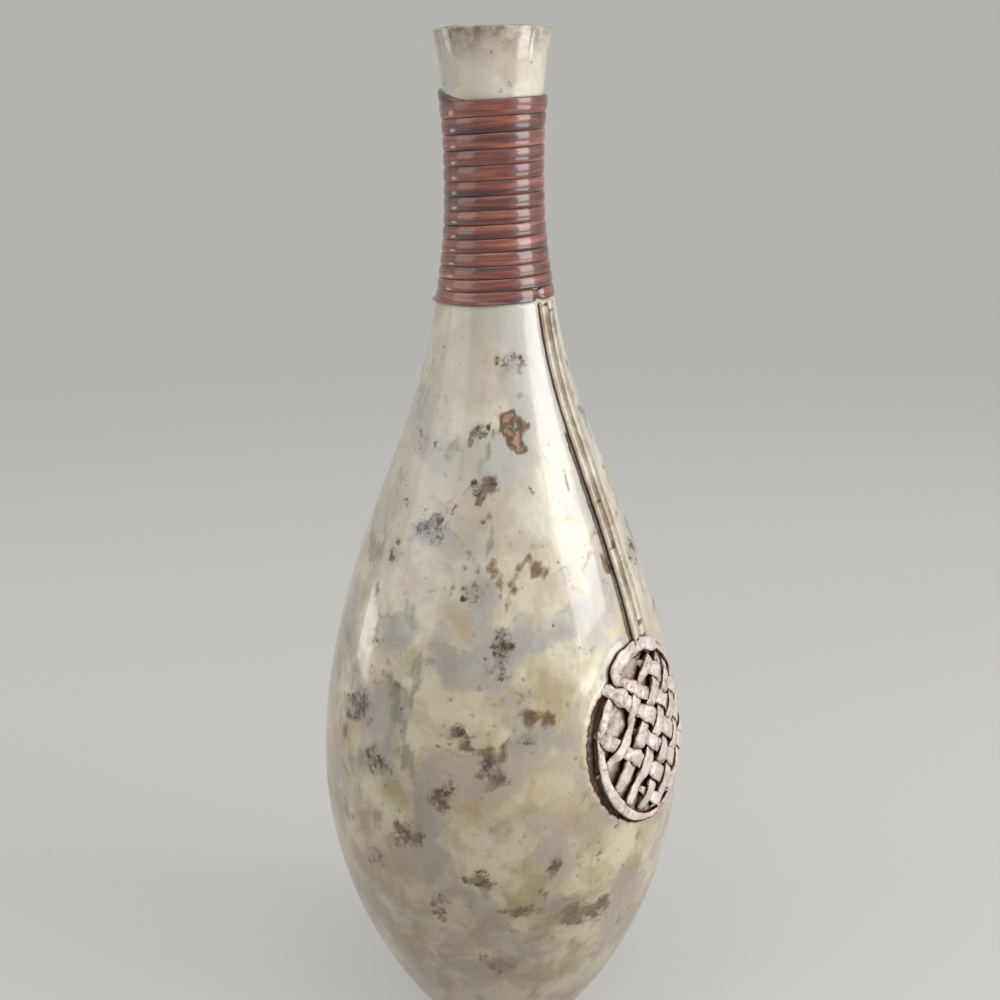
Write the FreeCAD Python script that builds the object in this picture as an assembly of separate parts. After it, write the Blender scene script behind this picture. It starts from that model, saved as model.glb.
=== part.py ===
import FreeCAD, Part
import math
import os

# Bottle vase with a cane-bound neck and an applied knot medallion. Millimetres, +Z up.
# The origin is the centre of the resting plane under the foot, and the medallion faces -Y.

# Overall shape of the shell
total_height = 500.0
belly_radius = 91.4
belly_height = 138.0
collar_radius = 28.4
neck_length = 122.7

# Foot: a resting ring with a bevel outside and a shallow recess inside
foot_radius = 41.5
foot_rim_radius = 44.5
foot_rim_height = 4.0
foot_ring_width = 9.0
foot_recess_depth = 3.0
foot_recess_draft = 1.5

# Walls of the shell
body_wall = 6.0
neck_wall = 4.4
floor_thickness = 8.0

# Lip
neck_top_radius = 23.8
lip_radius = 27.0
lip_round_radius = 2.6

# Outline between the named sizes, as shares of the rise and of the change of radius
lower_outline_shares = [(0.30, 0.52), (0.62, 0.855)]
upper_outline_shares = [(0.20, 0.932), (0.40, 0.749), (0.60, 0.478), (0.80, 0.185)]
lip_outline_shares = [(0.30, 0.08), (0.68, 0.43)]
bore_outline_shares = [(0.25, 0.06), (0.62, 0.38)]
binding_outline_shares = [(0.14, 0.60), (0.30, 0.24), (0.60, 0.00), (0.80, 0.05)]
binding_top_share = 0.24

# Cane binding: level rows that climb one pitch on the far side
cane_diameter = 5.95
turn_gap = 0.55
binding_rows = 14
binding_base_radius = 29.4
binding_waist_radius = 24.1
seat_clearance = 0.3
splice_gap = 0.3
splice_azimuth = -102.0
climb_azimuth = 33.0

# Pendant cords: two strips of clay that hang from the binding to the medallion
cord_width = 5.4
cord_height = 1.8
cord_gap = 0.5
cord_end_gap = 0.3
cord_edge_radius = 0.8

# Medallion: a round ground, a raised rim and flat straps woven over and under
medallion_height = 173.4
ground_radius = 45.4
ground_thickness = 0.9
rim_radius = 43.0
rim_width = 4.6
rim_height = 2.3
rim_edge_radius = 0.8
strap_pitch = 10.9
strap_width = 8.4
strap_thickness = 0.85
strap_crown_height = 0.5
strap_crown_inset = 1.2
strap_gap = 0.15
strap_end_gap = 0.3
strap_angle = 50.0
rising_straps = 7
falling_straps = 6

# Relief pieces lie this far off the face that carries them
relief_seat_gap = 0.1

# Working values: turns in degrees, counts of steps and the reach of the cutting tools
full_turn = 360.0
half_turn = 180.0
quarter_turn = 90.0
quarters_in_turn = 4
front_azimuth = -90.0
search_steps = 50
layer_stations = 9
layer_span = 84.0
points_per_turn = 90
straight_share = 1e-6
overrun = 6.0
tool_reach = 60.0

Vector = FreeCAD.Vector
Z_AXIS = Vector(0, 0, 1)
CENTRE = Vector(0, 0, 0)


def between(low, high, share):
    """The value at a share of the way from low to high."""
    return low + (high - low) * share


def smooth_curve(points):
    """One smooth curve through points given as (radius, height)."""
    curve = Part.BSplineCurve()
    curve.interpolate([Vector(radius, 0, height) for radius, height in points])
    return curve


def chain(*points):
    """Straight edges through points given as (radius, height)."""
    corners = [Vector(radius, 0, height) for radius, height in points]
    return [Part.LineSegment(a, b).toShape() for a, b in zip(corners, corners[1:])]


def spin(edges, angle=full_turn, start=0.0):
    """The solid that a closed outline in the XZ plane sweeps round the Z axis."""
    face = Part.Face(Part.Wire(Part.__sortEdges__(edges)))
    face.rotate(CENTRE, Z_AXIS, start)
    return face.revolve(CENTRE, Z_AXIS, angle)


def spread(low, high, shares):
    """Points between two (radius, height) corners at (height share, radius share)."""
    return [(between(low[0], high[0], r), between(low[1], high[1], h)) for h, r in shares]


# The neck's recess holds all rows of the binding, with a clearance below and above them
collar_height = total_height - neck_length
row_pitch = cane_diameter + turn_gap
cane_radius = cane_diameter / 2
seat_low = collar_height
first_row_height = seat_low + seat_clearance + cane_radius
seat_high = seat_low + binding_rows * row_pitch - turn_gap + 2 * seat_clearance


def body_outline():
    """The outside of the body, from the foot's rim over the belly to the collar."""
    rim = (foot_rim_radius, foot_rim_height)
    belly = (belly_radius, belly_height)
    collar = (collar_radius, collar_height)
    below = spread(rim, belly, lower_outline_shares)
    above = [(between(collar_radius, belly_radius, r), between(belly_height, collar_height, h))
             for h, r in upper_outline_shares]
    return smooth_curve([rim] + below + [belly] + above + [collar])


def binding_outline():
    """The outside of the binding, from its foot over its waist to its top."""
    swell = binding_base_radius - binding_waist_radius
    points = [(binding_base_radius, seat_low)]
    for height_share, radius_share in binding_outline_shares:
        radius = binding_waist_radius + swell * radius_share
        points.append((radius, between(seat_low, seat_high, height_share)))
    points.append((binding_waist_radius + swell * binding_top_share, seat_high))
    return points


def parameter_at(curve, height):
    """The parameter of a rising outline curve at a height, found by halving."""
    low, high = curve.FirstParameter, curve.LastParameter
    for step in range(search_steps):
        middle = (low + high) / 2
        if curve.value(middle).z < height:
            low = middle
        else:
            high = middle
    return (low + high) / 2


def radius_at(curve, height):
    """The radius of a rising outline curve at a height."""
    return curve.value(parameter_at(curve, height)).x


body_curve = body_outline()
binding_points = binding_outline()
binding_curve = smooth_curve(binding_points)


def outward(curve, parameter):
    """The unit vector square to an outline curve, pointing away from the axis."""
    tangent = curve.tangent(parameter)[0]
    tangent.normalize()
    return Vector(tangent.z, 0, -tangent.x)


def offset_point(curve, parameter, distance):
    """A point beside an outline curve, as (radius, height)."""
    point = curve.value(parameter) + outward(curve, parameter) * distance
    return (point.x, point.z)


def vase_shell():
    """The hollow ceramic shell: foot ring, body, recessed neck seat and flared lip."""
    seat_depth = cane_diameter + seat_clearance
    seat_points = [(radius - seat_depth, height) for radius, height in binding_points]
    lip_side = (lip_radius, total_height - lip_round_radius)
    lip_inner = (lip_radius - 2 * lip_round_radius, total_height - lip_round_radius)
    lip_top = Vector(lip_radius - lip_round_radius, 0, total_height)
    neck_top = (neck_top_radius, seat_high)
    lip_points = [neck_top] + spread(neck_top, lip_side, lip_outline_shares) + [lip_side]
    ring_inner = foot_radius - foot_ring_width
    recess_edge = ring_inner - foot_recess_draft
    foot = chain((0, foot_recess_depth), (recess_edge, foot_recess_depth), (ring_inner, 0),
                 (foot_radius, 0), (foot_rim_radius, foot_rim_height))
    shoulder = chain((collar_radius, seat_low), seat_points[0])
    overhang = chain(seat_points[-1], neck_top)
    lip_arc = Part.Arc(Vector(lip_side[0], 0, lip_side[1]), lip_top,
                       Vector(lip_inner[0], 0, lip_inner[1])).toShape()
    # The inside keeps one wall in the body and another in the neck, and opens out at the mouth
    floor_height = foot_recess_depth + floor_thickness
    floor_radius = radius_at(body_curve, floor_height) - 2 * body_wall
    inside = [(floor_radius, floor_height)]
    for height in inner_heights(floor_height):
        inside.append(offset_point(body_curve, parameter_at(body_curve, height), -body_wall))
    bore = [(radius - neck_wall, height) for radius, height in seat_points]
    mouth = spread(bore[-1], lip_inner, bore_outline_shares)
    inside_curve = smooth_curve(inside + bore + mouth + [lip_inner])
    floor = chain((0, foot_recess_depth), (0, floor_height), (floor_radius, floor_height))
    edges = foot + [body_curve.toShape()] + shoulder + [smooth_curve(seat_points).toShape()]
    edges += overhang + [smooth_curve(lip_points).toShape(), lip_arc, inside_curve.toShape()]
    return spin(edges + floor)


def inner_heights(floor_height):
    """Heights of the inside's points: at the outline's own points, short of the neck."""
    shares = [h for h, r in lower_outline_shares]
    heights = [between(foot_rim_height, belly_height, h) for h in shares] + [belly_height]
    heights += [between(belly_height, collar_height, h) for h, r in upper_outline_shares]
    return [height for height in heights if height > floor_height + body_wall]


def on_ring(radius, height, azimuth):
    """A point and its level tangent on a circle round the Z axis."""
    turn = math.radians(azimuth)
    point = Vector(radius * math.cos(turn), radius * math.sin(turn), height)
    return point, Vector(-math.sin(turn), math.cos(turn), 0)


def smooth_arc(start, corner, end):
    """The circular arc from start to end that is tangent to both lines through corner."""
    middle = (start + end) * (1 / 2)
    half_chord = (end - start).Length / 2
    reach = (corner - middle).Length
    if reach < half_chord * straight_share:
        return Part.LineSegment(start, end).toShape()
    rise = half_chord * math.tan(math.atan2(reach, half_chord) / 2)
    top = middle + (corner - middle) * (rise / reach)
    return Part.Arc(start, top, end).toShape()


def biarc(start, start_way, end, end_way):
    """Two arcs that leave start along start_way and reach end along end_way."""
    span = end - start
    ways = start_way + end_way
    along = span.dot(ways)
    bend = 2 * (1 - start_way.dot(end_way))
    reach = (math.sqrt(along * along + bend * span.dot(span)) - along) / bend
    corner_a = start + start_way * reach
    corner_b = end - end_way * reach
    joint = (corner_a + corner_b) * (1 / 2)
    return [smooth_arc(start, corner_a, joint), smooth_arc(joint, corner_b, end)]


def cane(stations):
    """A round cane along stations of (point, way), with a straight run at each end."""
    edges = []
    first_point, first_way = stations[0]
    last_point, last_way = stations[-1]
    tail = first_point - first_way * cane_diameter
    tip = last_point + last_way * cane_diameter
    edges.append(Part.LineSegment(tail, first_point).toShape())
    for (start, start_way), (end, end_way) in zip(stations, stations[1:]):
        edges.extend(biarc(start, start_way, end, end_way))
    edges.append(Part.LineSegment(last_point, tip).toShape())
    path = Part.Wire(edges)
    section = Part.Wire(Part.Circle(tail, first_way, cane_radius).toShape())
    return path.makePipeShell([section], True, False), path


def row_height(turn):
    """The height of the cane's middle after a turn in degrees from the climb's end."""
    whole, part = divmod(turn, full_turn)
    climb = max(0.0, part - half_turn) / half_turn
    eased = climb * climb * (3 - 2 * climb)
    return first_row_height + row_pitch * (1 + whole + eased)


def row_slope(turn):
    """The rise of the cane's middle for each degree of turn."""
    part = turn % full_turn
    climb = max(0.0, part - half_turn) / half_turn
    return row_pitch * 6 * climb * (1 - climb) / half_turn


def cane_centre_radius(height):
    """How far the cane's middle lies from the axis at a height."""
    return radius_at(binding_curve, height) - cane_radius


def neck_binding():
    """The upper rows: one length of cane, level in front and climbing at the back."""
    start_azimuth = climb_azimuth + quarter_turn
    quarters = quarters_in_turn * (binding_rows - 2) + quarters_in_turn // 2
    stations = []
    for quarter in range(quarters + 1):
        turn = quarter * quarter_turn
        height = row_height(turn)
        radius = cane_centre_radius(height)
        point, level_way = on_ring(radius, height, start_azimuth + turn)
        per_radian = row_slope(turn) * half_turn / math.pi
        flare = (cane_centre_radius(height + cane_radius) - radius) / cane_radius
        outward_way = Vector(point.x, point.y, 0) * (1 / radius)
        way = level_way * radius + Z_AXIS * per_radian + outward_way * (flare * per_radian)
        way.normalize()
        stations.append((point, way))
    solid, path = cane(stations)
    report_gap(path)
    return solid


def first_row():
    """The lowest row: one level turn of cane whose two cut ends meet at the splice."""
    height = first_row_height
    radius = cane_centre_radius(height)
    point, way = on_ring(radius, height, splice_azimuth)
    half_gap = splice_gap / 2 + cane_diameter
    stations = [(point + way * half_gap, way)]
    for quarter in range(1, quarters_in_turn):
        stations.append(on_ring(radius, height, splice_azimuth + quarter * quarter_turn))
    stations.append((point - way * half_gap, way))
    return cane(stations)[0]


def report_gap(path):
    """Prints the least gap between two turns of the binding, measured on points."""
    points = path.discretize(points_per_turn * binding_rows)
    skip = points_per_turn // 2
    least = min((points[i] - points[j]).Length
                for i in range(len(points))
                for j in range(i + skip, min(len(points), i + skip * 3)))
    print("binding: least gap between turns", round(least - cane_diameter, 3), "mm")


def body_layer(inner, outer, low, high):
    """The layer between two offsets of the body's outline, over the front of the belly."""
    first = parameter_at(body_curve, low)
    last = parameter_at(body_curve, high)
    steps = [between(first, last, k / (layer_stations - 1)) for k in range(layer_stations)]

    def skin(distance):
        return smooth_curve([offset_point(body_curve, s, distance) for s in steps]).toShape()

    inside = skin(inner)
    outside = skin(outer)
    low_cap = chain(offset_point(body_curve, first, inner), offset_point(body_curve, first, outer))
    high_cap = chain(offset_point(body_curve, last, inner), offset_point(body_curve, last, outer))
    return spin([inside, outside] + low_cap + high_cap, layer_span, front_azimuth - layer_span / 2)


def rounded(solid, radius):
    """A strip or ring of relief with the long edges of its outer face rounded."""
    longest = max(edge.Length for edge in solid.Edges)
    long_edges = [edge for edge in solid.Edges if edge.Length > longest / 2]
    long_edges.sort(key=lambda edge: edge.BoundBox.YMin)
    return solid.makeFillet(radius, long_edges[:len(long_edges) // 2]).Solids[0]


ground_top = relief_seat_gap + ground_thickness
medallion_parameter = parameter_at(body_curve, medallion_height)
medallion_body_radius = body_curve.value(medallion_parameter).x


def medallion_prism(radius):
    """A tool that cuts a round outline of the given radius square to the medallion."""
    way = outward(body_curve, medallion_parameter)
    facing = Vector(0, -way.x, way.z)
    upright = Vector(0, way.z, way.x)
    centre = Vector(0, -medallion_body_radius, medallion_height)
    half_width = medallion_body_radius * math.sin(radius / medallion_body_radius)
    base = centre - facing * (tool_reach / 2)
    ellipse = Part.Ellipse(base + upright * radius, base + Vector(half_width, 0, 0), base)
    return Part.Face(Part.Wire(ellipse.toShape())).extrude(facing * tool_reach)


def medallion_layer(inner, outer):
    """The layer of relief between two heights above the body, round the medallion."""
    reach = ground_radius + overrun
    return body_layer(inner, outer, medallion_height - reach, medallion_height + reach)


def medallion_ground():
    """The thin round plate of clay that the medallion is built up on."""
    layer = medallion_layer(relief_seat_gap, ground_top)
    return layer.common(medallion_prism(ground_radius)).Solids[0]


def medallion_rim():
    """The raised ring of clay round the straps."""
    layer = medallion_layer(ground_top + relief_seat_gap, ground_top + rim_height)
    disc = layer.common(medallion_prism(rim_radius))
    ring = disc.cut(medallion_prism(rim_radius - rim_width)).Solids[0]
    return rounded(ring, rim_edge_radius)


def on_medallion(across, up, height):
    """The place across and up the body's surface from the middle, at a height above it."""
    parameter = body_curve.parameterAtDistance(up, medallion_parameter)
    radius, level = offset_point(body_curve, parameter, height)
    azimuth = math.radians(front_azimuth) + across / medallion_body_radius
    return Vector(radius * math.cos(azimuth), radius * math.sin(azimuth), level)


def strap_places(count):
    """The middles of evenly spaced straps, about the medallion's middle."""
    return [(k - (count - 1) / 2) * strap_pitch for k in range(count)]


def strap(place, turn, crossings, first_over):
    """One flat strap of clay that passes over and under those that cross it."""
    half = strap_width / 2
    crown = half - strap_crown_inset
    section = [(-half, 0), (half, 0), (half, strap_crown_height), (crown, strap_thickness),
               (-crown, strap_thickness), (-half, strap_crown_height)]
    along = Vector(math.cos(math.radians(turn)), math.sin(math.radians(turn)), 0)
    side = Vector(-along.y, along.x, 0)
    low = ground_top + strap_gap
    high = low + strap_thickness + strap_gap
    wires = []
    for index, crossing in enumerate(crossings):
        over = (index % 2 == 0) == first_over
        for edge in (-half, half):
            level = high if over else low
            middle = along * (crossing + edge) + side * place
            here = on_medallion(middle.x, middle.y, level)
            ahead = middle + along * strap_gap
            way = on_medallion(ahead.x, ahead.y, level) - here
            way.normalize()
            corners = []
            for offset, rise in section:
                flat = middle + side * offset
                corner = on_medallion(flat.x, flat.y, level + rise)
                corners.append(corner - way * (corner - here).dot(way))
            wires.append(Part.makePolygon(corners + [corners[0]]))
    length = Part.makeLoft(wires, True, True)
    inside = medallion_prism(rim_radius - rim_width - strap_end_gap)
    return length.common(inside).Solids[0]


def medallion_straps():
    """Both sets of straps, by name. A strap crosses the other set where its places are."""
    straps = {}
    rising_places = strap_places(rising_straps)
    falling_places = strap_places(falling_straps)
    # A strap of either set runs on past the rim by whole crossings before it is cut to length
    reach = falling_places + [falling_places[-1] + strap_pitch]
    reach = [falling_places[0] - strap_pitch] + reach
    for number, place in enumerate(rising_places):
        straps["rising_strap_" + str(number + 1)] = strap(place, strap_angle, reach, number % 2 == 1)
    reach = [-place for place in reversed(rising_places)]
    for number, place in enumerate(falling_places):
        turn = strap_angle - quarter_turn
        straps["falling_strap_" + str(number + 1)] = strap(place, turn, reach, number % 2 == 1)
    return straps


def pendant_cord(side):
    """A strip of clay from under the binding down to the medallion's ground."""
    low = medallion_height
    high = collar_height - cord_end_gap
    layer = body_layer(relief_seat_gap, cord_height, low, high)
    near = cord_gap / 2
    slab = Part.makeBox(cord_width, total_height, total_height, Vector(near, -total_height, 0))
    if side < 0:
        slab = slab.mirror(CENTRE, Vector(1, 0, 0))
    strip = layer.common(slab).cut(medallion_prism(ground_radius + cord_end_gap))
    return rounded(max(strip.Solids, key=lambda solid: solid.BoundBox.ZMax), cord_edge_radius)


nodes = {
    "vase_shell": vase_shell(),
    "neck_binding": neck_binding(),
    "binding_first_row": first_row(),
    "pendant_cord_left": pendant_cord(-1),
    "pendant_cord_right": pendant_cord(1),
    "medallion_ground": medallion_ground(),
    "medallion_rim": medallion_rim(),
}
nodes.update(medallion_straps())

os.makedirs("parts", exist_ok=True)
for name, shape in nodes.items():
    shape.exportStep("parts/" + name + ".step")
    box = shape.BoundBox
    print(name, shape.ShapeType, "valid", shape.isValid(), "volume", round(shape.Volume),
          "mm3, from z", round(box.ZMin, 1), "to", round(box.ZMax, 1))
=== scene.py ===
# %% [markdown]
# # A bottle vase with a cane-bound neck and a knot medallion
# The vase is a hollow ceramic bottle with a lacquered, mottled finish. Cane is wound round its
# neck, and two flat cords of clay hang from the cane to a round medallion of woven straps.
# The construction model is the frame: it says where every piece lies. This scene dresses it.
# All lengths are in metres, so `mm` turns a size in millimetres into Blender's unit.

# %% Load the frame
import math
import bmesh
import bpy
import numpy as np
from mathutils import Matrix, Vector, noise
from mathutils.bvhtree import BVHTree


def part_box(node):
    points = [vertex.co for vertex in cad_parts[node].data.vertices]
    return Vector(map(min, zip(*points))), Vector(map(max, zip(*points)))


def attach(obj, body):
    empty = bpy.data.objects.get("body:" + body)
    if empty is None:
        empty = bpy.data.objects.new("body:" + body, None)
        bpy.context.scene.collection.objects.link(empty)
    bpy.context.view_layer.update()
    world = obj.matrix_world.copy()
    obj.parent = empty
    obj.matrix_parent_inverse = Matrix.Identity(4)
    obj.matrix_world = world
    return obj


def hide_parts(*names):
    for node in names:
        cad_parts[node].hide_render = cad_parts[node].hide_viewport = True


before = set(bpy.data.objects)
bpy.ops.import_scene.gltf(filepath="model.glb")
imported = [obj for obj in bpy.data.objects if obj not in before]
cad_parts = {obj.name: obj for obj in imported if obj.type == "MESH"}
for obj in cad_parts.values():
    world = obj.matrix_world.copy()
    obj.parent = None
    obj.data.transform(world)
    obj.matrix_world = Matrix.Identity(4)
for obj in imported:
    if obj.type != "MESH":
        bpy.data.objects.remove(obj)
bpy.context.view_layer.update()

mm = 0.001
full_turn = 2 * math.pi

# %% [markdown]
# ## The camera
# The photo was taken from a little below the rim, looking down at the belly, with the medallion
# turned to the right. A pinhole camera has a focal length that can be stated in pixels: the lens
# in millimetres follows from the sensor's width. The slight roll is the photo's own.

# %% Place the camera
photo_pixels = 1000
focal_pixels = 1400
horizon_pixels = 400
camera_azimuth = math.radians(-55.4)
camera_distance = 671 * mm
camera_height = 468 * mm
camera_pitch = math.atan(horizon_pixels / focal_pixels)
camera_roll = math.radians(-0.7)
camera_yaw = math.radians(-0.085)

camera_data = bpy.data.cameras.new("photo_camera")
camera_data.lens = camera_data.sensor_width * focal_pixels / photo_pixels
camera = bpy.data.objects.new("photo_camera", camera_data)
bpy.context.scene.collection.objects.link(camera)
camera.location = (math.sin(camera_azimuth) * camera_distance,
                   -math.cos(camera_azimuth) * camera_distance, camera_height)
level = math.radians(90)
turned = Matrix.Rotation(camera_azimuth + camera_yaw, 4, "Z")
pitched = Matrix.Rotation(level - camera_pitch, 4, "X")
rolled = Matrix.Rotation(camera_roll, 4, "Z")
camera.matrix_world = Matrix.Translation(camera.location) @ turned @ pitched @ rolled
bpy.context.scene.camera = camera
bpy.context.scene.view_settings.view_transform = "Standard"
print("lens:", round(camera_data.lens, 1), "mm")

# %% [markdown]
# ## Helpers for colours, nodes and trees
# A maker's colour is written as a hex value, which is sRGB, and a shader wants linear light.
# One function adds any node, with its settings and its links, so that a material or a Geometry
# Nodes tree reads as a short list. A tree gets named inputs, and a modifier takes their values
# by each socket's identifier.

# %% Helpers for colours and nodes
MATH = "ShaderNodeMath"
VECTOR = "ShaderNodeVectorMath"
NOISE = "ShaderNodeTexNoise"
RANGE = "ShaderNodeMapRange"
MIX = "ShaderNodeMix"


def linear(hex_colour):
    """An sRGB hex colour as linear red, green, blue and alpha."""
    parts = [int(hex_colour[k:k + 2], 16) / 255 for k in (1, 3, 5)]
    return tuple(p / 12.92 if p <= 0.04045 else ((p + 0.055) / 1.055) ** 2.4 for p in parts) + (1,)


def live_output(node):
    """A node's first output in use: a Mix node, for one, hides those of other types."""
    return next(socket for socket in node.outputs if socket.enabled)


def add(tree, kind, inputs=None, **settings):
    """Adds a node. Inputs take a value, a hex colour, a socket or a node, by name or number."""
    made = tree.nodes.new(kind)
    for name, value in settings.items():
        setattr(made, name, value)
    for key, value in (inputs or {}).items():
        if isinstance(value, str) and value.startswith("#"):
            value = linear(value)
        if isinstance(value, bpy.types.Node):
            value = live_output(value)
        if isinstance(value, bpy.types.NodeSocket):
            tree.links.new(value, made.inputs[key])
        else:
            made.inputs[key].default_value = value
    return made


def new_tree(name, sockets):
    """A Geometry Nodes tree with a geometry input, named inputs and a geometry output."""
    tree = bpy.data.node_groups.new(name, "GeometryNodeTree")
    tree.interface.new_socket("Geometry", in_out="INPUT", socket_type="NodeSocketGeometry")
    tree.interface.new_socket("Geometry", in_out="OUTPUT", socket_type="NodeSocketGeometry")
    for socket_name, kind in sockets.items():
        tree.interface.new_socket(socket_name, in_out="INPUT", socket_type="NodeSocket" + kind)
    return tree, tree.nodes.new("NodeGroupInput")


def finish_tree(tree, geometry, material_socket):
    """Ends a tree in Realize Instances and Set Material."""
    real = add(tree, "GeometryNodeRealizeInstances", {0: geometry})
    painted = add(tree, "GeometryNodeSetMaterial", {0: real, "Material": material_socket})
    add(tree, "NodeGroupOutput", {0: painted})


def grow(name, mesh, tree, values):
    """Runs a tree on a mesh and returns its result as an object with a plain mesh."""
    piece = bpy.data.objects.new(name, mesh)
    bpy.context.scene.collection.objects.link(piece)
    modifier = piece.modifiers.new("grow", "NODES")
    modifier.node_group = tree
    for item in tree.interface.items_tree:
        if item.in_out == "INPUT" and item.name in values:
            modifier[item.identifier] = values[item.name]
    depsgraph = bpy.context.evaluated_depsgraph_get()
    grown = bpy.data.meshes.new_from_object(piece.evaluated_get(depsgraph))
    piece.modifiers.clear()
    piece.data = grown
    grown.name = name
    return piece


def line_mesh(name, points):
    """A mesh that is one row of points joined by edges."""
    mesh = bpy.data.meshes.new(name)
    mesh.from_pydata(points, [(k, k + 1) for k in range(len(points) - 1)], [])
    return mesh


def smoothstep(low, high, x):
    """0 below low, 1 above high, and a smooth ramp between, for numbers or arrays."""
    share = np.clip((x - low) / (high - low), 0, 1)
    return share * share * (3 - 2 * share)


def coordinates(mesh):
    """The mesh's vertices as an array of rows."""
    flat = np.empty(len(mesh.vertices) * 3)
    mesh.vertices.foreach_get("co", flat)
    return flat.reshape(-1, 3)


# %% [markdown]
# ## The materials, named first and filled in later
# Geometry Nodes set a material on what they make, so each material exists before its pieces.
# Their nodes are added near the end, once the pieces carry the attributes that they read.

# %% Name the materials
faux_stone = bpy.data.materials.new("lacquered_faux_stone_ceramic")
clay_with_wash_and_shade = bpy.data.materials.new("lacquered_clay_with_dark_wash_and_painted_shade")
dyed_cane = bpy.data.materials.new("dyed_lacquered_cane")
print("materials:", [m.name for m in (faux_stone, clay_with_wash_and_shade, dyed_cane)])

# %% [markdown]
# ## The outline of the shell
# A thrown or moulded bottle is a surface of revolution: one outline turned round an axis.
# The outline is read from the construction model. The points on its seam lie exactly on the
# true curve, so a natural cubic spline through them gives the curve back without any facets.
# The model's neck has a deep recess for a round cane. Real binding cane is thin and flat, so
# here the recess is made shallow and the outside of the binding stays where it was.

# %% Read the outline from the frame
def natural_spline(knots, values, at):
    """The natural cubic spline through (knots, values), read at the places `at`."""
    step = np.diff(knots)
    slope = np.diff(values) / step
    system = np.eye(len(knots))
    target = np.zeros(len(knots))
    for k in range(1, len(knots) - 1):
        system[k, k - 1:k + 2] = step[k - 1], 2 * (step[k - 1] + step[k]), step[k]
        target[k] = 6 * (slope[k] - slope[k - 1])
    bend = np.linalg.solve(system, target)
    k = np.clip(np.searchsorted(knots, at) - 1, 0, len(step) - 1)
    d = at - knots[k]
    first = slope[k] - step[k] * (2 * bend[k] + bend[k + 1]) / 6
    return values[k] + d * (first + d * (bend[k] / 2 + d * (bend[k + 1] - bend[k]) / (6 * step[k])))


def seam_points(node):
    """(radius, height) of the node's vertices at azimuth zero, and whether each is outside."""
    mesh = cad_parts[node].data
    points = coordinates(mesh)
    tree = BVHTree.FromPolygons(points.tolist(), [tuple(p.vertices) for p in mesh.polygons])
    on_seam = points[(abs(points[:, 1]) < 1e-6) & (points[:, 0] > 0)]
    on_seam = np.unique(np.round(on_seam[:, [0, 2]], 7), axis=0)
    just_off = 0.02 * mm
    hits = [tree.ray_cast(Vector((r + just_off, 0, z)), Vector((1, 0, 0)))[0] for r, z in on_seam]
    return on_seam, np.array([hit is None for hit in hits])


cane_room = 5.8 * mm
cane_thickness = 2.2 * mm
seat_rise = cane_room - cane_thickness
binding_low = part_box("binding_first_row")[0].z
binding_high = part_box("neck_binding")[1].z
foot_edge_height = 4.5 * mm

seam, outside = seam_points("vase_shell")
foot_points = seam[seam[:, 1] < foot_edge_height]
foot_points = foot_points[np.argsort(foot_points[:, 0])]
outer = seam[outside & (seam[:, 1] > foot_edge_height)]
outer = outer[np.argsort(outer[:, 1])]
body = np.vstack([foot_points[-1:], outer[outer[:, 1] < binding_low]])
seat = outer[(outer[:, 1] > binding_low + mm) & (outer[:, 1] < binding_high - mm)]
seat = seat + (seat_rise, 0)
lip = outer[outer[:, 1] > binding_high + mm]
lip_side = lip[lip[:, 0] == lip[:, 0].max()][0]
lip = lip[lip[:, 1] <= lip_side[1]]
print("outline: belly", round(body[:, 0].max() / mm, 1), "mm, lip", round(lip_side[0] / mm, 1), "mm")

# %% Draw the whole profile, from under the foot over the lip to the floor inside
neck_step_in = 2.2 * mm
neck_step_up = 1.4 * mm
neck_start = (body[-1] - (neck_step_in, -neck_step_up))[None]
neck_knots = np.vstack([neck_start, seat, lip])


def outer_radius(height):
    """The outer radius of the finished shell at a height."""
    below = natural_spline(body[:, 1], body[:, 0], height)
    above = natural_spline(neck_knots[:, 1], neck_knots[:, 0], height)
    return np.where(height <= body[-1, 1], below, above)


def levels(low, high, spacing):
    """Evenly spaced heights from low to high, both included."""
    return np.linspace(low, high, max(2, round(abs(high - low) / spacing) + 1))


row_spacing = 2.7 * mm
lip_spacing = 1.5 * mm
inner_spacing = 7.0 * mm
corner_round = 0.6 * mm
floor_round = 3 * mm
shell_columns = 204


def rounded(corners, radius, steps=4):
    """The corner points with each inner corner replaced by a short curve."""
    points = [corners[0]]
    for before, corner, after in zip(corners, corners[1:], corners[2:]):
        towards = [before - corner, after - corner]
        near = [corner + w / np.linalg.norm(w) * radius for w in towards]
        for t in np.linspace(0, 1, steps):
            points.append((1 - t) ** 2 * near[0] + 2 * t * (1 - t) * corner + t * t * near[1])
    return points + [corners[-1]]


inner = seam[~outside & (seam[:, 1] > foot_edge_height) & (seam[:, 1] < lip_side[1] - mm)]
inner = inner[np.argsort(-inner[:, 1])]
floor_height = inner[-1, 1]
recess_height = foot_points[0, 1]
wall_heights = levels(body[0, 1], body[-1, 1], row_spacing)[1:]
neck_heights = levels(neck_knots[0, 1], neck_knots[-1, 1], lip_spacing)
wall = [np.array((float(outer_radius(z)), z)) for z in wall_heights]
neck = [np.array((float(outer_radius(z)), z)) for z in neck_heights]
foot = [np.array((0, recess_height)), *foot_points, wall[0]]

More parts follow.
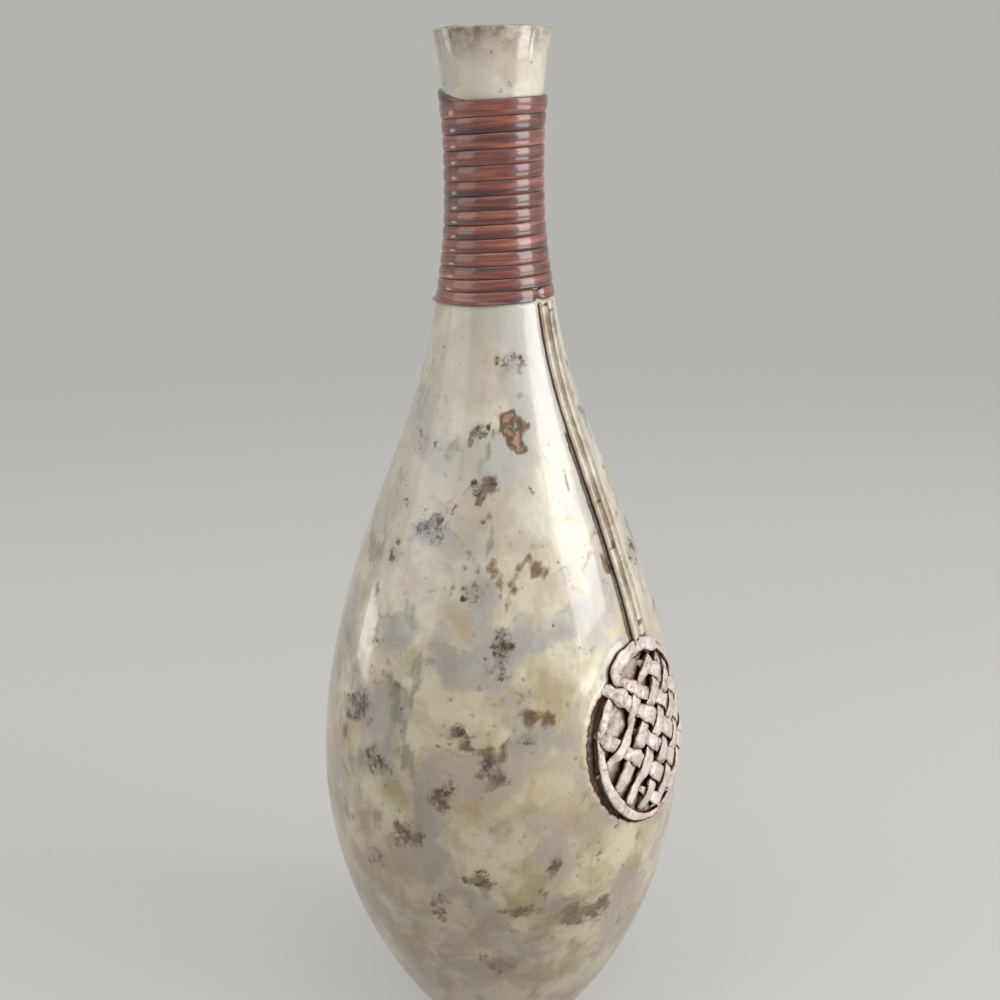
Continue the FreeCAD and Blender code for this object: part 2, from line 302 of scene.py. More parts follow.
lip_round = seam[:, 1].max() - lip_side[1]
lip_middle = np.array((lip_side[0] - lip_round, lip_side[1]))
around_lip = np.linspace(0, math.pi, 13)[1:]
crown = [lip_middle + lip_round * np.array((math.cos(t), math.sin(t))) for t in around_lip]
inner_knots = np.vstack([crown[-1], inner])
inner_heights = levels(inner_knots[0, 1], floor_height, inner_spacing)[1:]
inner_radii = natural_spline(-inner_knots[:, 1], inner_knots[:, 0], -inner_heights)
inside = [np.array(point) for point in zip(inner_radii, inner_heights)]
inside = rounded(inside[-3:] + [np.array((0, floor_height))], floor_round)[1:]
inside = [np.array(point) for point in zip(inner_radii[:-2], inner_heights[:-2])] + inside
profile = rounded(foot, corner_round) + wall[1:] + neck + crown + inside
print("profile:", len(profile), "points, lip", round(lip_round / mm, 2), "mm round")

# %% [markdown]
# ## Turning the profile
# A lathe turns a profile round an axis, and Geometry Nodes can do the same. The tree below
# lays a grid with one column for each step of the turn and one row for each profile point.
# Every grid point looks up its profile point by number and is rotated by its column's angle.
# The first and last columns then meet, and the poles close, when near points are merged.

# %% The turned form's tree
turning, turning_in = new_tree("turned_form", {
    "Columns": "Int", "Rows": "Int", "Merge Distance": "Float", "Material": "Material"})
stops = add(turning, MATH, {0: turning_in.outputs["Columns"], 1: 1.0}, operation="ADD")
sheet = add(turning, "GeometryNodeMeshGrid",
            {"Vertices X": stops, "Vertices Y": turning_in.outputs["Rows"]})
number = add(turning, "GeometryNodeInputIndex")
share = add(turning, MATH, {0: number, 1: turning_in.outputs["Rows"]}, operation="DIVIDE")
column = add(turning, MATH, {0: share}, operation="FLOOR")
row = add(turning, MATH, {0: number, 1: turning_in.outputs["Rows"]}, operation="MODULO")
place = add(turning, "GeometryNodeInputPosition")
drawn = add(turning, "GeometryNodeSampleIndex",
            {0: turning_in.outputs["Geometry"], "Value": place, "Index": row},
            data_type="FLOAT_VECTOR")
turn = add(turning, MATH, {0: column, 1: turning_in.outputs["Columns"]}, operation="DIVIDE")
angle = add(turning, MATH, {0: turn, 1: full_turn}, operation="MULTIPLY")
spun = add(turning, "ShaderNodeVectorRotate", {"Vector": drawn, "Angle": angle},
           rotation_type="Z_AXIS")
formed = add(turning, "GeometryNodeSetPosition", {0: sheet, "Position": spun})
joined = add(turning, "GeometryNodeMergeByDistance",
             {0: formed, "Distance": turning_in.outputs["Merge Distance"]})
smooth = add(turning, "GeometryNodeSetShadeSmooth", {0: joined})
finish_tree(turning, smooth, turning_in.outputs["Material"])

shell = grow("turned_shell", line_mesh("profile", [(r, 0, z) for r, z in profile]), turning, {
    "Columns": shell_columns, "Rows": len(profile), "Merge Distance": 0.002 * mm,
    "Material": faux_stone})
print("shell:", len(shell.data.vertices), "vertices")

# %% [markdown]
# ## Flat plans laid on the vase
# The medallion and its cords are planned flat, as a potter rolls clay on a table: `across` runs
# round the vase, `up` runs along its outline and `lift` stands away from its surface. The plan
# is then wrapped on the belly. The nodes below sample the outline at the length that `up` gives,
# step outwards along its normal by `lift`, and turn the point about the axis by `across`.

# %% The outline's length and the place of the medallion
medallion_height = 173.4 * mm
medallion_azimuth = math.radians(-90)
girth = float(outer_radius(medallion_height))
table_spacing = 0.5 * mm
table_heights = levels(body[0, 1], body[-1, 1], table_spacing)
table_radii = outer_radius(table_heights)
table_steps = np.hypot(np.diff(table_radii), np.diff(table_heights))
table_lengths = np.concatenate([[0], np.cumsum(table_steps)])
medallion_length = float(np.interp(medallion_height, table_heights, table_lengths))


def scene_helper(name, mesh):
    """An object that only Geometry Nodes read. It is removed before the end."""
    made = bpy.data.objects.new(name, mesh)
    bpy.context.scene.collection.objects.link(made)
    helpers.append(made)
    return made


helpers = []
outline = scene_helper("outline", line_mesh(
    "outline", [(r, 0, z) for r, z in zip(table_radii.tolist(), table_heights.tolist())]))
print("medallion: middle", round(medallion_length / mm, 1), "mm along the outline, girth radius",
      round(girth / mm, 1), "mm")

# %% Nodes that wrap a flat plan on the vase
PLAN = {"Outline": "Object", "Middle": "Float", "Girth": "Float", "Keep Width": "Float",
        "Azimuth": "Float"}
plan_values = {"Outline": outline, "Middle": medallion_length, "Girth": girth,
               "Azimuth": medallion_azimuth, "Material": clay_with_wash_and_shade}


def wrap(tree, inputs, geometry):
    """Adds the nodes that lay flat geometry (across, up, lift) on the vase."""
    point = add(tree, "GeometryNodeInputPosition")
    flat = add(tree, "ShaderNodeSeparateXYZ", {0: point})
    drawn_line = add(tree, "GeometryNodeObjectInfo", {"Object": inputs.outputs["Outline"]})
    curve = add(tree, "GeometryNodeMeshToCurve", {0: drawn_line.outputs["Geometry"]})
    length = add(tree, MATH, {0: flat.outputs["Y"], 1: inputs.outputs["Middle"]}, operation="ADD")
    found = add(tree, "GeometryNodeSampleCurve", {"Curves": curve, "Length": length},
                mode="LENGTH")
    normal = add(tree, VECTOR, {0: (0, 1, 0), 1: found.outputs["Tangent"]},
                 operation="CROSS_PRODUCT")
    step_out = add(tree, VECTOR, {0: normal, "Scale": flat.outputs["Z"]}, operation="SCALE")
    lifted = add(tree, VECTOR, {0: found.outputs["Position"], 1: step_out}, operation="ADD")
    on_outline = add(tree, "ShaderNodeSeparateXYZ", {0: found.outputs["Position"]})
    radius = add(tree, MIX, {0: inputs.outputs["Keep Width"], 2: inputs.outputs["Girth"],
                             3: on_outline})
    aside = add(tree, MATH, {0: flat.outputs["X"], 1: radius}, operation="DIVIDE")
    azimuth = add(tree, MATH, {0: aside, 1: inputs.outputs["Azimuth"]}, operation="ADD")
    laid = add(tree, "ShaderNodeVectorRotate", {"Vector": lifted, "Angle": azimuth},
               rotation_type="Z_AXIS")
    wrapped = add(tree, "GeometryNodeSetPosition", {0: geometry, "Position": laid})
    return add(tree, "GeometryNodeSetShadeSmooth", {0: wrapped})


# %% [markdown]
# ## A ribbon of clay
# Straps, rim and cords are ribbons: one section drawn along a path. The path is a row of points
# in the flat plan that carries two numbers, `swell` for the ribbon's size at that point and
# `along` for the distance travelled. Curve to Mesh draws the section, noise gives the surface
# the small dents that fingers and tools leave, and the result is wrapped on the vase.

# %% The ribbon's tree
ribbon, ribbon_in = new_tree("ribbon_on_vase", {
    "Section": "Object", "Width": "Float", "Thickness": "Float", "Dent Depth": "Float",
    "Dent Scale": "Float", "Seed": "Float", **PLAN, "Material": "Material"})
path = add(ribbon, "GeometryNodeMeshToCurve", {0: ribbon_in.outputs["Geometry"]})
upright = add(ribbon, "GeometryNodeSetCurveNormal", {0: path}, mode="Z_UP")
drawing = add(ribbon, "GeometryNodeObjectInfo", {"Object": ribbon_in.outputs["Section"]})
section_line = add(ribbon, "GeometryNodeMeshToCurve", {0: drawing.outputs["Geometry"]})
half_width = add(ribbon, MATH, {0: ribbon_in.outputs["Width"], 1: 0.5}, operation="MULTIPLY")
sizes = add(ribbon, "ShaderNodeCombineXYZ",
            {"X": half_width, "Y": ribbon_in.outputs["Thickness"], "Z": 1.0})
drawn_at = add(ribbon, "GeometryNodeInputPosition")
sized = add(ribbon, VECTOR, {0: drawn_at, 1: sizes}, operation="MULTIPLY")
section = add(ribbon, "GeometryNodeSetPosition", {0: section_line, "Position": sized})
sideways = add(ribbon, "ShaderNodeSeparateXYZ", {0: drawn_at})
marked = add(ribbon, "GeometryNodeStoreNamedAttribute",
             {0: section, "Name": "across", "Value": sideways.outputs["X"]}, data_type="FLOAT")
swelling = add(ribbon, "GeometryNodeInputNamedAttribute", {"Name": "swell"}, data_type="FLOAT")
swept = add(ribbon, "GeometryNodeCurveToMesh",
            {"Curve": upright, "Profile Curve": marked, "Scale": swelling, "Fill Caps": True})
at = add(ribbon, "GeometryNodeInputPosition")
grain = add(ribbon, NOISE,
            {"Vector": at, "W": ribbon_in.outputs["Seed"],
             "Scale": ribbon_in.outputs["Dent Scale"], "Detail": 3.0}, noise_dimensions="4D")
centred = add(ribbon, MATH, {0: grain, 1: 0.5}, operation="SUBTRACT")
depth = add(ribbon, MATH, {0: centred, 1: ribbon_in.outputs["Dent Depth"]}, operation="MULTIPLY")
facing = add(ribbon, "GeometryNodeInputNormal")
push = add(ribbon, VECTOR, {0: facing, "Scale": depth}, operation="SCALE")
dented = add(ribbon, "GeometryNodeSetPosition", {0: swept, "Offset": push})
finish_tree(ribbon, wrap(ribbon, ribbon_in, dented), ribbon_in.outputs["Material"])


def smooth_path(points, spacing):
    """Points along a smooth curve through a few given ones, about `spacing` apart."""
    points = np.array(points, float)
    travelled = np.concatenate([[0], np.cumsum(np.linalg.norm(np.diff(points, axis=0), axis=1))])
    at_lengths = levels(0, travelled[-1], spacing)
    return np.stack([natural_spline(travelled, column, at_lengths) for column in points.T], 1)


def ribbon_piece(name, points, swell, section_object, closed=False, **sizes_given):
    """A ribbon along the points (across, up, lift), as a plain mesh on the vase."""
    mesh = line_mesh(name, np.asarray(points).tolist())
    travelled = np.cumsum(np.linalg.norm(np.diff(points, axis=0, prepend=points[:1]), axis=1))
    for label, numbers in (("swell", swell), ("along", travelled)):
        mesh.attributes.new(label, "FLOAT", "POINT").data.foreach_set("value", numbers)
    if closed:
        mesh.edges.add(1)
        mesh.edges[-1].vertices = (len(points) - 1, 0)
    return grow(name, mesh, ribbon, {**plan_values, "Section": section_object, **sizes_given})


def section_helper(name, points):
    """A closed section, in shares of the half width and of the thickness."""
    mesh = bpy.data.meshes.new(name)
    count = len(points)
    mesh.from_pydata([(x, y, 0) for x, y in points], [(k, (k + 1) % count) for k in range(count)], [])
    return scene_helper(name, mesh)


# A ribbon rolled flat: a wide base, soft shoulders and a shallow hollow along its middle
half_section = [(0, -0.5), (0.6, -0.5), (1.08, -0.48), (1.1, -0.36), (1.0, -0.08), (0.87, 0.17),
                (0.68, 0.38), (0.48, 0.49), (0.25, 0.47)]
ribbon_section = section_helper("ribbon_section", half_section + [
    (0, 0.42)] + [(-x, y) for x, y in half_section[:0:-1]])
print("section:", len(ribbon_section.data.vertices), "points")

# %% [markdown]
# ## The straps of the knot
# Straps cross in two directions, over and under in turn, as in a basket. `place` numbers a
# crossing by its two straps. A cosine of that number is high where a strap passes over and low
# where it passes under, so the same rule lifts one strap where it lowers the other. At the left
# and bottom the weave is looser: some straps bend or stop, and the ground shows between them.

# %% The lattice of the straps
strap_pitch = 10.9
rising_angle = math.radians(50)
strap_end = 39.6
rising_count = 7
falling_count = 6
over_lift = 1.45
under_lift = 0.3


def on_plan(p, q):
    """Across and up, in metres, of the lattice point with places p and q in millimetres."""
    across = -p * math.sin(rising_angle) + q * math.cos(rising_angle)
    up = p * math.cos(rising_angle) + q * math.sin(rising_angle)
    return np.stack([across, up], -1) * mm


def reach_at(place, limit=strap_end):
    """How far a strap at this place runs before it meets the rim."""
    return math.sqrt(limit ** 2 - place ** 2)


rising_paths = []
for k in range(rising_count):
    p = (k - (rising_count - 1) / 2) * strap_pitch
    rising_paths.append([(p, -reach_at(p)), (p, -reach_at(p) / 2), (p, 0), (p, reach_at(p) / 2),
                         (p, reach_at(p))])
rising_paths[5] = [(22.6, -34), (22.2, -24), (19.6, -14), (19.2, -7), (22.6, 2), (22.8, 16), (20, 34)]
rising_paths[6] = [(29.5, -26), (34, -17), (37.4, -9), (38.6, 0), (37.6, 8), (34.5, 15)]
falling_paths = [
    [(-reach_at(27.2), -27.2), (-14, -27.4), (-3, -27.8)],
    [(-reach_at(16.4), -16.4), (-12, -16.4), (12, -16.2), (24, -16.8), (36.5, -17.6)],
    [(-reach_at(5.5), -5.5), (-15, -5.5), (6, -5.2), (15, -6.0)],
    [(-reach_at(5.5), 5.5), (-10, 5.5), (10, 5.2), (24, 3.9), (38, 3.6), (53, 3.4)],
    [(-reach_at(16.4), 16.4), (-8, 16.4), (8, 15.6), (20, 12.8), (32, 11.2), (40.5, 11.0),
     (42.2, 12.6), (41.4, 18.6), (37.6, 25.6), (30.5, 32.6), (20, 38.0), (8, 41.4)],
    [(-reach_at(27.2), 27.2), (-10, 27.2), (10, 27.0), (20, 26.2), (26.5, 24.4)],
]
strap_fullness = {"rising 5": 0.78, "rising 6": 0.62, "falling 3": 1.08, "falling 4": 0.92}
bridge = "falling 3"
print("straps:", len(rising_paths), "rising,", len(falling_paths), "falling")

# %% Draw each strap along its path
path_spacing = 0.6
strap_width = 6.3 * mm
strap_thickness = 3.2 * mm
end_fade = 5.5
end_sink = 2.2
end_lift_share = 0.3
end_swell_share = 0.4
sideways_wander = 0.75
lift_wander = 0.35
arch_power = 0.75
bridge_sink = 4.2
bottom_thinning = 0.25
strap_dents = {"Dent Depth": 2.0 * mm, "Dent Scale": 180.0}


def wander(points, seed, scale=0.16):
    """A slow random number from -1 to 1 for each point of a path."""
    return np.array([noise.noise(Vector((p * scale, q * scale, seed * 7.3))) for p, q in points])


straps = []
for family, paths in (("rising", rising_paths), ("falling", falling_paths)):
    for k, controls in enumerate(paths):
        seed = k + 20 * (family == "falling")
        route = smooth_path(controls, path_spacing)
        if family == "rising":
            crossing = route[:, 1] / strap_pitch + (falling_count - 1) / 2
            wave = np.cos(math.pi * crossing) * (-1) ** k
        else:
            crossing = route[:, 0] / strap_pitch + (rising_count - 1) / 2
            wave = -np.cos(math.pi * crossing) * (-1) ** k
        arch = np.sign(wave) * abs(wave) ** arch_power
        sideways = np.stack([wander(route, seed), wander(route, seed + 50)], 1)
        route = route + sideways_wander * sideways
        lift = (over_lift + under_lift) / 2 + arch * (over_lift - under_lift) / 2
        lift = lift + lift_wander * wander(route, seed + 90, 0.25)
        from_end = path_spacing * np.minimum(np.arange(len(route)), np.arange(len(route))[::-1])
        fade = smoothstep(0, end_fade, from_end)
        sinking = 1 - smoothstep(0, 0.6 * end_fade, from_end)
        lift = lift * (end_lift_share + (1 - end_lift_share) * fade) - end_sink * sinking
        if f"{family} {k}" == bridge:
            lift = lift - bridge_sink * smoothstep(40, 51, np.hypot(route[:, 0], route[:, 1]))
        fullness = strap_fullness.get(f"{family} {k}", 1.0)
        swell = 0.96 + 0.1 * wave + 0.26 * wander(route, seed + 70, 0.22)
        swell = swell * (end_swell_share + (1 - end_swell_share) * fade)
        swell = swell * fullness * (1 - bottom_thinning * smoothstep(14, 30, -route[:, 1]))
        plan = np.column_stack([on_plan(route[:, 0], route[:, 1]), lift * mm])
        straps.append(ribbon_piece(f"knot_{family}_strap_{k + 1}", plan, swell, ribbon_section,
                                   Width=strap_width, Thickness=strap_thickness,
                                   Seed=float(seed), **strap_dents))
print("strap 1:", len(straps[0].data.polygons), "faces")

# %% [markdown]
# ## The medallion's ground and rim
# The ground is a thin plate of clay under the straps, dented by hand. The rim is one more
# ribbon, bent into a ring. On the left the rim is thinner, and a deep gap parts it from the
# body. Both follow the same rule of a plan that is wrapped on the vase.

# %% The plate's tree and the ground
plate, plate_in = new_tree("plate_on_vase", {
    "Dent Depth": "Float", "Dent Scale": "Float", **PLAN, "Material": "Material"})
flat_at = add(plate, "GeometryNodeInputPosition")
plate_grain = add(plate, NOISE,
                  {"Vector": flat_at, "Scale": plate_in.outputs["Dent Scale"], "Detail": 3.0})
plate_centred = add(plate, MATH, {0: plate_grain, 1: 0.5}, operation="SUBTRACT")
plate_depth = add(plate, MATH, {0: plate_centred, 1: plate_in.outputs["Dent Depth"]},
                  operation="MULTIPLY")
plate_push = add(plate, "ShaderNodeCombineXYZ", {"Z": plate_depth})
plate_dented = add(plate, "GeometryNodeSetPosition",
                   {0: plate_in.outputs["Geometry"], "Offset": plate_push})
finish_tree(plate, wrap(plate, plate_in, plate_dented), plate_in.outputs["Material"])


def rim_outside(azimuth_in_plan):
    """The rim's outer radius in millimetres at an angle in the plan, narrower on the left."""
    degrees = np.degrees(azimuth_in_plan) % 360
    return np.interp(degrees, [0, 84, 100, 116, 126, 134, 160, 185, 205, 230, 252, 285, 360],
                     [43.2, 43.6, 44.8, 44.4, 42.6, 40.6, 39.6, 39.5, 40.4, 41.8, 43.2, 43.2, 43.2])


ring_steps = 240
ground_rings = 44
ground_lift = -0.9
ground_edge_drop = 0.9
ring_angles = np.arange(ring_steps) / ring_steps * full_turn
ground_points = [(0, 0, ground_lift * mm)]
for k in range(1, ground_rings + 1):
    share_out = k / ground_rings
    edge = smoothstep(0.965, 1.0, share_out) * ground_edge_drop
    radius = (rim_outside(ring_angles) + 0.2) * share_out * mm
    ground_points += list(zip(radius * np.cos(ring_angles), radius * np.sin(ring_angles),
                              np.full(ring_steps, (ground_lift - edge) * mm)))
ground_faces = [(0, 1 + k, 1 + (k + 1) % ring_steps) for k in range(ring_steps)]
for k in range(ground_rings - 1):
    for j in range(ring_steps):
        a, b = 1 + k * ring_steps + j, 1 + k * ring_steps + (j + 1) % ring_steps
        ground_faces.append((a, a + ring_steps, b + ring_steps, b))
ground_mesh = bpy.data.meshes.new("knot_ground")
ground_mesh.from_pydata([tuple(map(float, point)) for point in ground_points], [], ground_faces)
ground = grow("knot_ground", ground_mesh, plate,
              {**plan_values, "Dent Depth": 1.1 * mm, "Dent Scale": 140.0})
print("ground:", len(ground.data.polygons), "faces")

# %% The rim
rim_width = 3.7
rim_thickness = 3.0
rim_spacing_angles = np.arange(480) / 480 * full_turn
rim_wobble = np.array([noise.noise(Vector((4 * math.cos(t), 4 * math.sin(t), 3)))
                       for t in rim_spacing_angles])
rim_middle = rim_outside(rim_spacing_angles) - rim_width / 2 + 0.35 * rim_wobble
rim_fullness = np.interp(np.degrees(rim_spacing_angles),
                         [0, 60, 90, 100, 128, 142, 175, 205, 222, 245, 262, 300, 360],
                         [0.7, 0.7, 0.5, 0.25, 0.25, 0.8, 0.8, 1.1, 1.35, 1.0, 0.6, 0.6, 0.7])
rim_lift = 1.5 * rim_fullness - 1.0 + 0.3 * rim_wobble
rim_points = np.column_stack([rim_middle * mm * np.cos(rim_spacing_angles),
                              rim_middle * mm * np.sin(rim_spacing_angles), rim_lift * mm])
rim = ribbon_piece("knot_rim", rim_points, rim_fullness + 0.2 * rim_wobble, ribbon_section,
                   closed=True, Width=rim_width * mm, Thickness=rim_thickness * mm, Seed=60.0,
                   **strap_dents)
print("rim:", len(rim.data.polygons), "faces")

# %% [markdown]
# ## The two cords
# Two flat strips hang from the binding. Each was combed lengthwise, which leaves two flat
# strands with a thin dark line between them. The medallion's plan narrows with the vase, but a
# cord keeps its width up the narrowing neck, so here the wrap divides by the local radius.

# %% Draw the cords
strands = 2
strand_points = 9
cord_middle = 2.95
cord_width = 5.4
cord_thickness = 2.0
cord_spacing = 1.2 * mm
strand_section = []
for k in range(strands):
    for j in range(strand_points):
        t = math.pi * (j + 0.5) / strand_points
        middle = 1 - (2 * k + 1) / strands
        strand_section.append((middle + math.cos(t) / strands, 0.16 + 0.2 * math.sin(t) ** 0.7))
cord_section = section_helper("cord_section", [
    (1.02, -0.1), *strand_section, (-1.02, -0.1), (-1.06, -0.45), (1.06, -0.45)])
binding_start = binding_low - 0.2 * mm
cord_top = float(np.interp(binding_start, table_heights, table_lengths)) - medallion_length
cord_bottom = 42.6 * mm
cords = []
for side, name in ((-1, "left"), (1, "right")):
    up = levels(cord_bottom, cord_top, cord_spacing)
    sway = np.array([noise.noise(Vector((u / mm * 0.03, side * 5, 0))) for u in up])
    across = side * cord_middle + 0.35 * sway + 0.9 * smoothstep(110 * mm, 50 * mm, up)
    swell = 1 + 0.06 * np.array([noise.noise(Vector((u / mm * 0.1, side * 9, 4))) for u in up])
    lift = np.interp(up / mm, [60, 135, 160], [1.0, 0.9, 0.15])
    at_end = smoothstep(0, 5 * mm, up - cord_bottom)
    lift = lift * (0.2 + 0.8 * at_end)
    points = np.column_stack([across * mm, up, lift * mm])
    swell = swell * (0.8 + 0.2 * at_end)
    cords.append(ribbon_piece("hanging_cord_" + name, points, swell, cord_section,
                              Width=cord_width * mm, Thickness=cord_thickness * mm,
                              Seed=70.0 + side, **{"Dent Depth": 0.35 * mm, "Dent Scale": 300.0,
                                                   "Keep Width": 1.0}))
print("cords:", round((cord_top - cord_bottom) / mm, 1), "mm long")

# %% [markdown]
# ## The cane binding
# Flat cane is wound round the neck in one long helix. Its rows grow wider towards the top, and
# its end dives under the last row. Each point of a long grid knows how many turns it has gone.
# Its height follows from that, and a ray towards the axis finds the neck at that height, so
# that the cane follows whatever surface is under it. The first row is a ring of its own, made
# by the same tree. Its two ends meet in a scarf, one wedge over the other.

# %% The winding's tree
winding, winding_in = new_tree("cane_winding", {
    "Neck": "Object", "Steps": "Int", "Turns": "Float", "First Turn": "Float",
    "Start Height": "Float", "Pitch": "Float", "Pitch Growth": "Float", "Tilt": "Float",
    "Width": "Float", "Width Growth": "Float", "Thickness": "Float", "Stand Off": "Float",
    "Tuck In Turns": "Float", "Tuck Out Turns": "Float", "Tuck Depth": "Float",
    "Dive": "Float", "Point Turns": "Float", "Wander": "Float", "Azimuth": "Float",
    "Material": "Material"})
section_steps = 18
ray_start = 60 * mm
given = winding_in.outputs
stations = add(winding, MATH, {0: given["Steps"], 1: 1.0}, operation="ADD")
strip = add(winding, "GeometryNodeMeshGrid",
            {"Vertices X": stations, "Vertices Y": section_steps + 1})
index = add(winding, "GeometryNodeInputIndex")
share = add(winding, MATH, {0: index, 1: section_steps + 1.0}, operation="DIVIDE")
station = add(winding, MATH, {0: share}, operation="FLOOR")
spoke = add(winding, MATH, {0: index, 1: section_steps + 1.0}, operation="MODULO")
gone = add(winding, MATH, {0: station, 1: given["Steps"]}, operation="DIVIDE")
turned_by = add(winding, MATH, {0: gone, 1: given["Turns"]}, operation="MULTIPLY")
turns = add(winding, MATH, {0: turned_by, 1: given["First Turn"]}, operation="ADD")
left_over = add(winding, MATH, {0: given["Turns"], 1: turned_by}, operation="SUBTRACT")

# Height: start + pitch x turns + growth x turns squared / 2, and a tilt for a level ring
squared = add(winding, MATH, {0: turns, 1: turns}, operation="MULTIPLY")
half_growth = add(winding, MATH, {0: given["Pitch Growth"], 1: 0.5}, operation="MULTIPLY")
grown = add(winding, MATH, {0: squared, 1: half_growth, 2: given["Start Height"]},
            operation="MULTIPLY_ADD")
climbed = add(winding, MATH, {0: turns, 1: given["Pitch"], 2: grown}, operation="MULTIPLY_ADD")
turn_angle = add(winding, MATH, {0: turns, 1: full_turn}, operation="MULTIPLY")
swing = add(winding, MATH, {0: turn_angle}, operation="SINE")
tilted = add(winding, MATH, {0: swing, 1: given["Tilt"], 2: climbed}, operation="MULTIPLY_ADD")
tucked_end = add(winding, RANGE,
                 {0: left_over, 1: 0.0, 2: given["Tuck Out Turns"], 3: 1.0, 4: 0.0},
                 interpolation_type="SMOOTHSTEP")
dived = add(winding, MATH, {0: tucked_end, 1: given["Dive"]}, operation="MULTIPLY")
height = add(winding, MATH, {0: tilted, 1: dived}, operation="SUBTRACT")

# The section goes once round: a crowned top, soft edges and a flat underside
spoke_angle = add(winding, MATH, {0: spoke, 1: -full_turn / section_steps}, operation="MULTIPLY")
cosine = add(winding, MATH, {0: spoke_angle}, operation="COSINE")
sine = add(winding, MATH, {0: spoke_angle}, operation="SINE")
fullness = add(winding, MATH, {0: cosine, 1: cosine}, operation="MULTIPLY")
fuller = add(winding, MATH, {0: fullness, 1: -0.3, 2: 1.3}, operation="MULTIPLY_ADD")
across = add(winding, MATH, {0: cosine, 1: fuller}, operation="MULTIPLY")
rise = add(winding, MATH, {0: sine, 1: 0.5, 2: 0.5}, operation="MULTIPLY_ADD")

# Both ends taper to a point, and slow noise moves and swells the cane a little
point_start = add(winding, RANGE, {0: turned_by, 1: 0.0, 2: given["Point Turns"]})
point_end = add(winding, RANGE, {0: left_over, 1: 0.0, 2: given["Point Turns"]})
pointed = add(winding, MATH, {0: point_start, 1: point_end}, operation="MULTIPLY")
wandering = add(winding, NOISE, {"W": turns, "Scale": 2.3, "Detail": 2.0},
                noise_dimensions="1D")
strayed = add(winding, MATH, {0: wandering, 1: 0.5}, operation="SUBTRACT")
stray = add(winding, MATH, {0: strayed, 1: given["Wander"]}, operation="MULTIPLY")
width = add(winding, MATH, {0: turns, 1: given["Width Growth"], 2: given["Width"]},
            operation="MULTIPLY_ADD")
half = add(winding, MATH, {0: width, 1: 0.5}, operation="MULTIPLY")
narrowed = add(winding, MATH, {0: half, 1: pointed}, operation="MULTIPLY")
offset = add(winding, MATH, {0: across, 1: narrowed, 2: height}, operation="MULTIPLY_ADD")
level_at = add(winding, MATH, {0: offset, 1: stray}, operation="ADD")

# A ray towards the axis finds the neck, and the cane stands off from there
far_out = add(winding, "ShaderNodeCombineXYZ", {"X": ray_start, "Z": level_at})
neck = add(winding, "GeometryNodeObjectInfo", {"Object": given["Neck"]})
bearing = add(winding, MATH, {0: turn_angle, 1: given["Azimuth"]}, operation="ADD")
source = add(winding, "ShaderNodeVectorRotate", {"Vector": far_out, "Angle": bearing},
             rotation_type="Z_AXIS")
inwards = add(winding, "ShaderNodeVectorRotate", {"Vector": (-1, 0, 0), "Angle": bearing},
              rotation_type="Z_AXIS")
ray = add(winding, "GeometryNodeRaycast",
          {0: neck.outputs["Geometry"], "Source Position": source, "Ray Direction": inwards,
           "Ray Length": ray_start})
tucked_start = add(winding, RANGE,
                   {0: turned_by, 1: 0.0, 2: given["Tuck In Turns"], 3: 1.0, 4: 0.0},
                   interpolation_type="SMOOTHSTEP")
tucked = add(winding, MATH, {0: tucked_start, 1: tucked_end}, operation="MAXIMUM")
thick = add(winding, MATH, {0: rise, 1: given["Thickness"]}, operation="MULTIPLY")
thinned = add(winding, MATH, {0: thick, 1: pointed, 2: given["Stand Off"]},
              operation="MULTIPLY_ADD")
sunk = add(winding, MATH, {0: tucked, 1: given["Tuck Depth"]}, operation="MULTIPLY")
stand = add(winding, MATH, {0: thinned, 1: sunk}, operation="SUBTRACT")
outwards = add(winding, VECTOR, {0: inwards, "Scale": stand}, operation="SCALE")
laid = add(winding, VECTOR, {0: ray.outputs["Hit Position"], 1: outwards}, operation="SUBTRACT")
wound = add(winding, "GeometryNodeSetPosition", {0: strip, "Position": laid})
noted_along = add(winding, "GeometryNodeStoreNamedAttribute",
                  {0: wound, "Name": "turns", "Value": turns}, data_type="FLOAT")
noted_across = add(winding, "GeometryNodeStoreNamedAttribute",
                   {0: noted_along, "Name": "across", "Value": across}, data_type="FLOAT")
closed = add(winding, "GeometryNodeMergeByDistance", {0: noted_across, "Distance": 0.003 * mm})
finish_tree(winding, add(winding, "GeometryNodeSetShadeSmooth", {0: closed}), given["Material"])

# %% Wind the cane
photo_azimuth = camera_azimuth - math.radians(90)
steps_per_turn = 96
seed_mesh = bpy.data.meshes.new("cane")
rows_values = {
    "Neck": shell, "Thickness": cane_thickness, "Azimuth": photo_azimuth, "Material": dyed_cane}
main_turns = 13.67
binding = grow("cane_binding", seed_mesh, winding, {
    **rows_values, "Steps": int(main_turns * steps_per_turn), "Turns": main_turns,
    "First Turn": 0.28, "Start Height": 380.4 * mm, "Pitch": 5.6 * mm, "Pitch Growth": 0.138 * mm,
    "Tilt": 0.0, "Width": 5.75 * mm, "Width Growth": 0.137 * mm, "Stand Off": 0.05 * mm,
    "Tuck In Turns": 0.5, "Tuck Out Turns": 0.26, "Tuck Depth": 1.7 * mm, "Dive": 7.5 * mm,
    "Point Turns": 0.03, "Wander": 0.5 * mm})
first_row = grow("cane_first_row", seed_mesh.copy(), winding, {
    **rows_values, "Steps": 110, "Turns": 1.06, "First Turn": 0.1,
    "Start Height": 380.45 * mm, "Pitch": 0.0, "Pitch Growth": 0.0, "Tilt": 0.8 * mm,
    "Width": 5.7 * mm, "Width Growth": 0.0, "Stand Off": 0.12 * mm,
    "Tuck In Turns": 0.07, "Tuck Out Turns": 0.01, "Tuck Depth": 0.9 * mm, "Dive": 0.0,
    "Point Turns": 0.05, "Wander": 0.3 * mm})
print("binding:", len(binding.data.polygons), "faces, first row:", len(first_row.data.polygons))

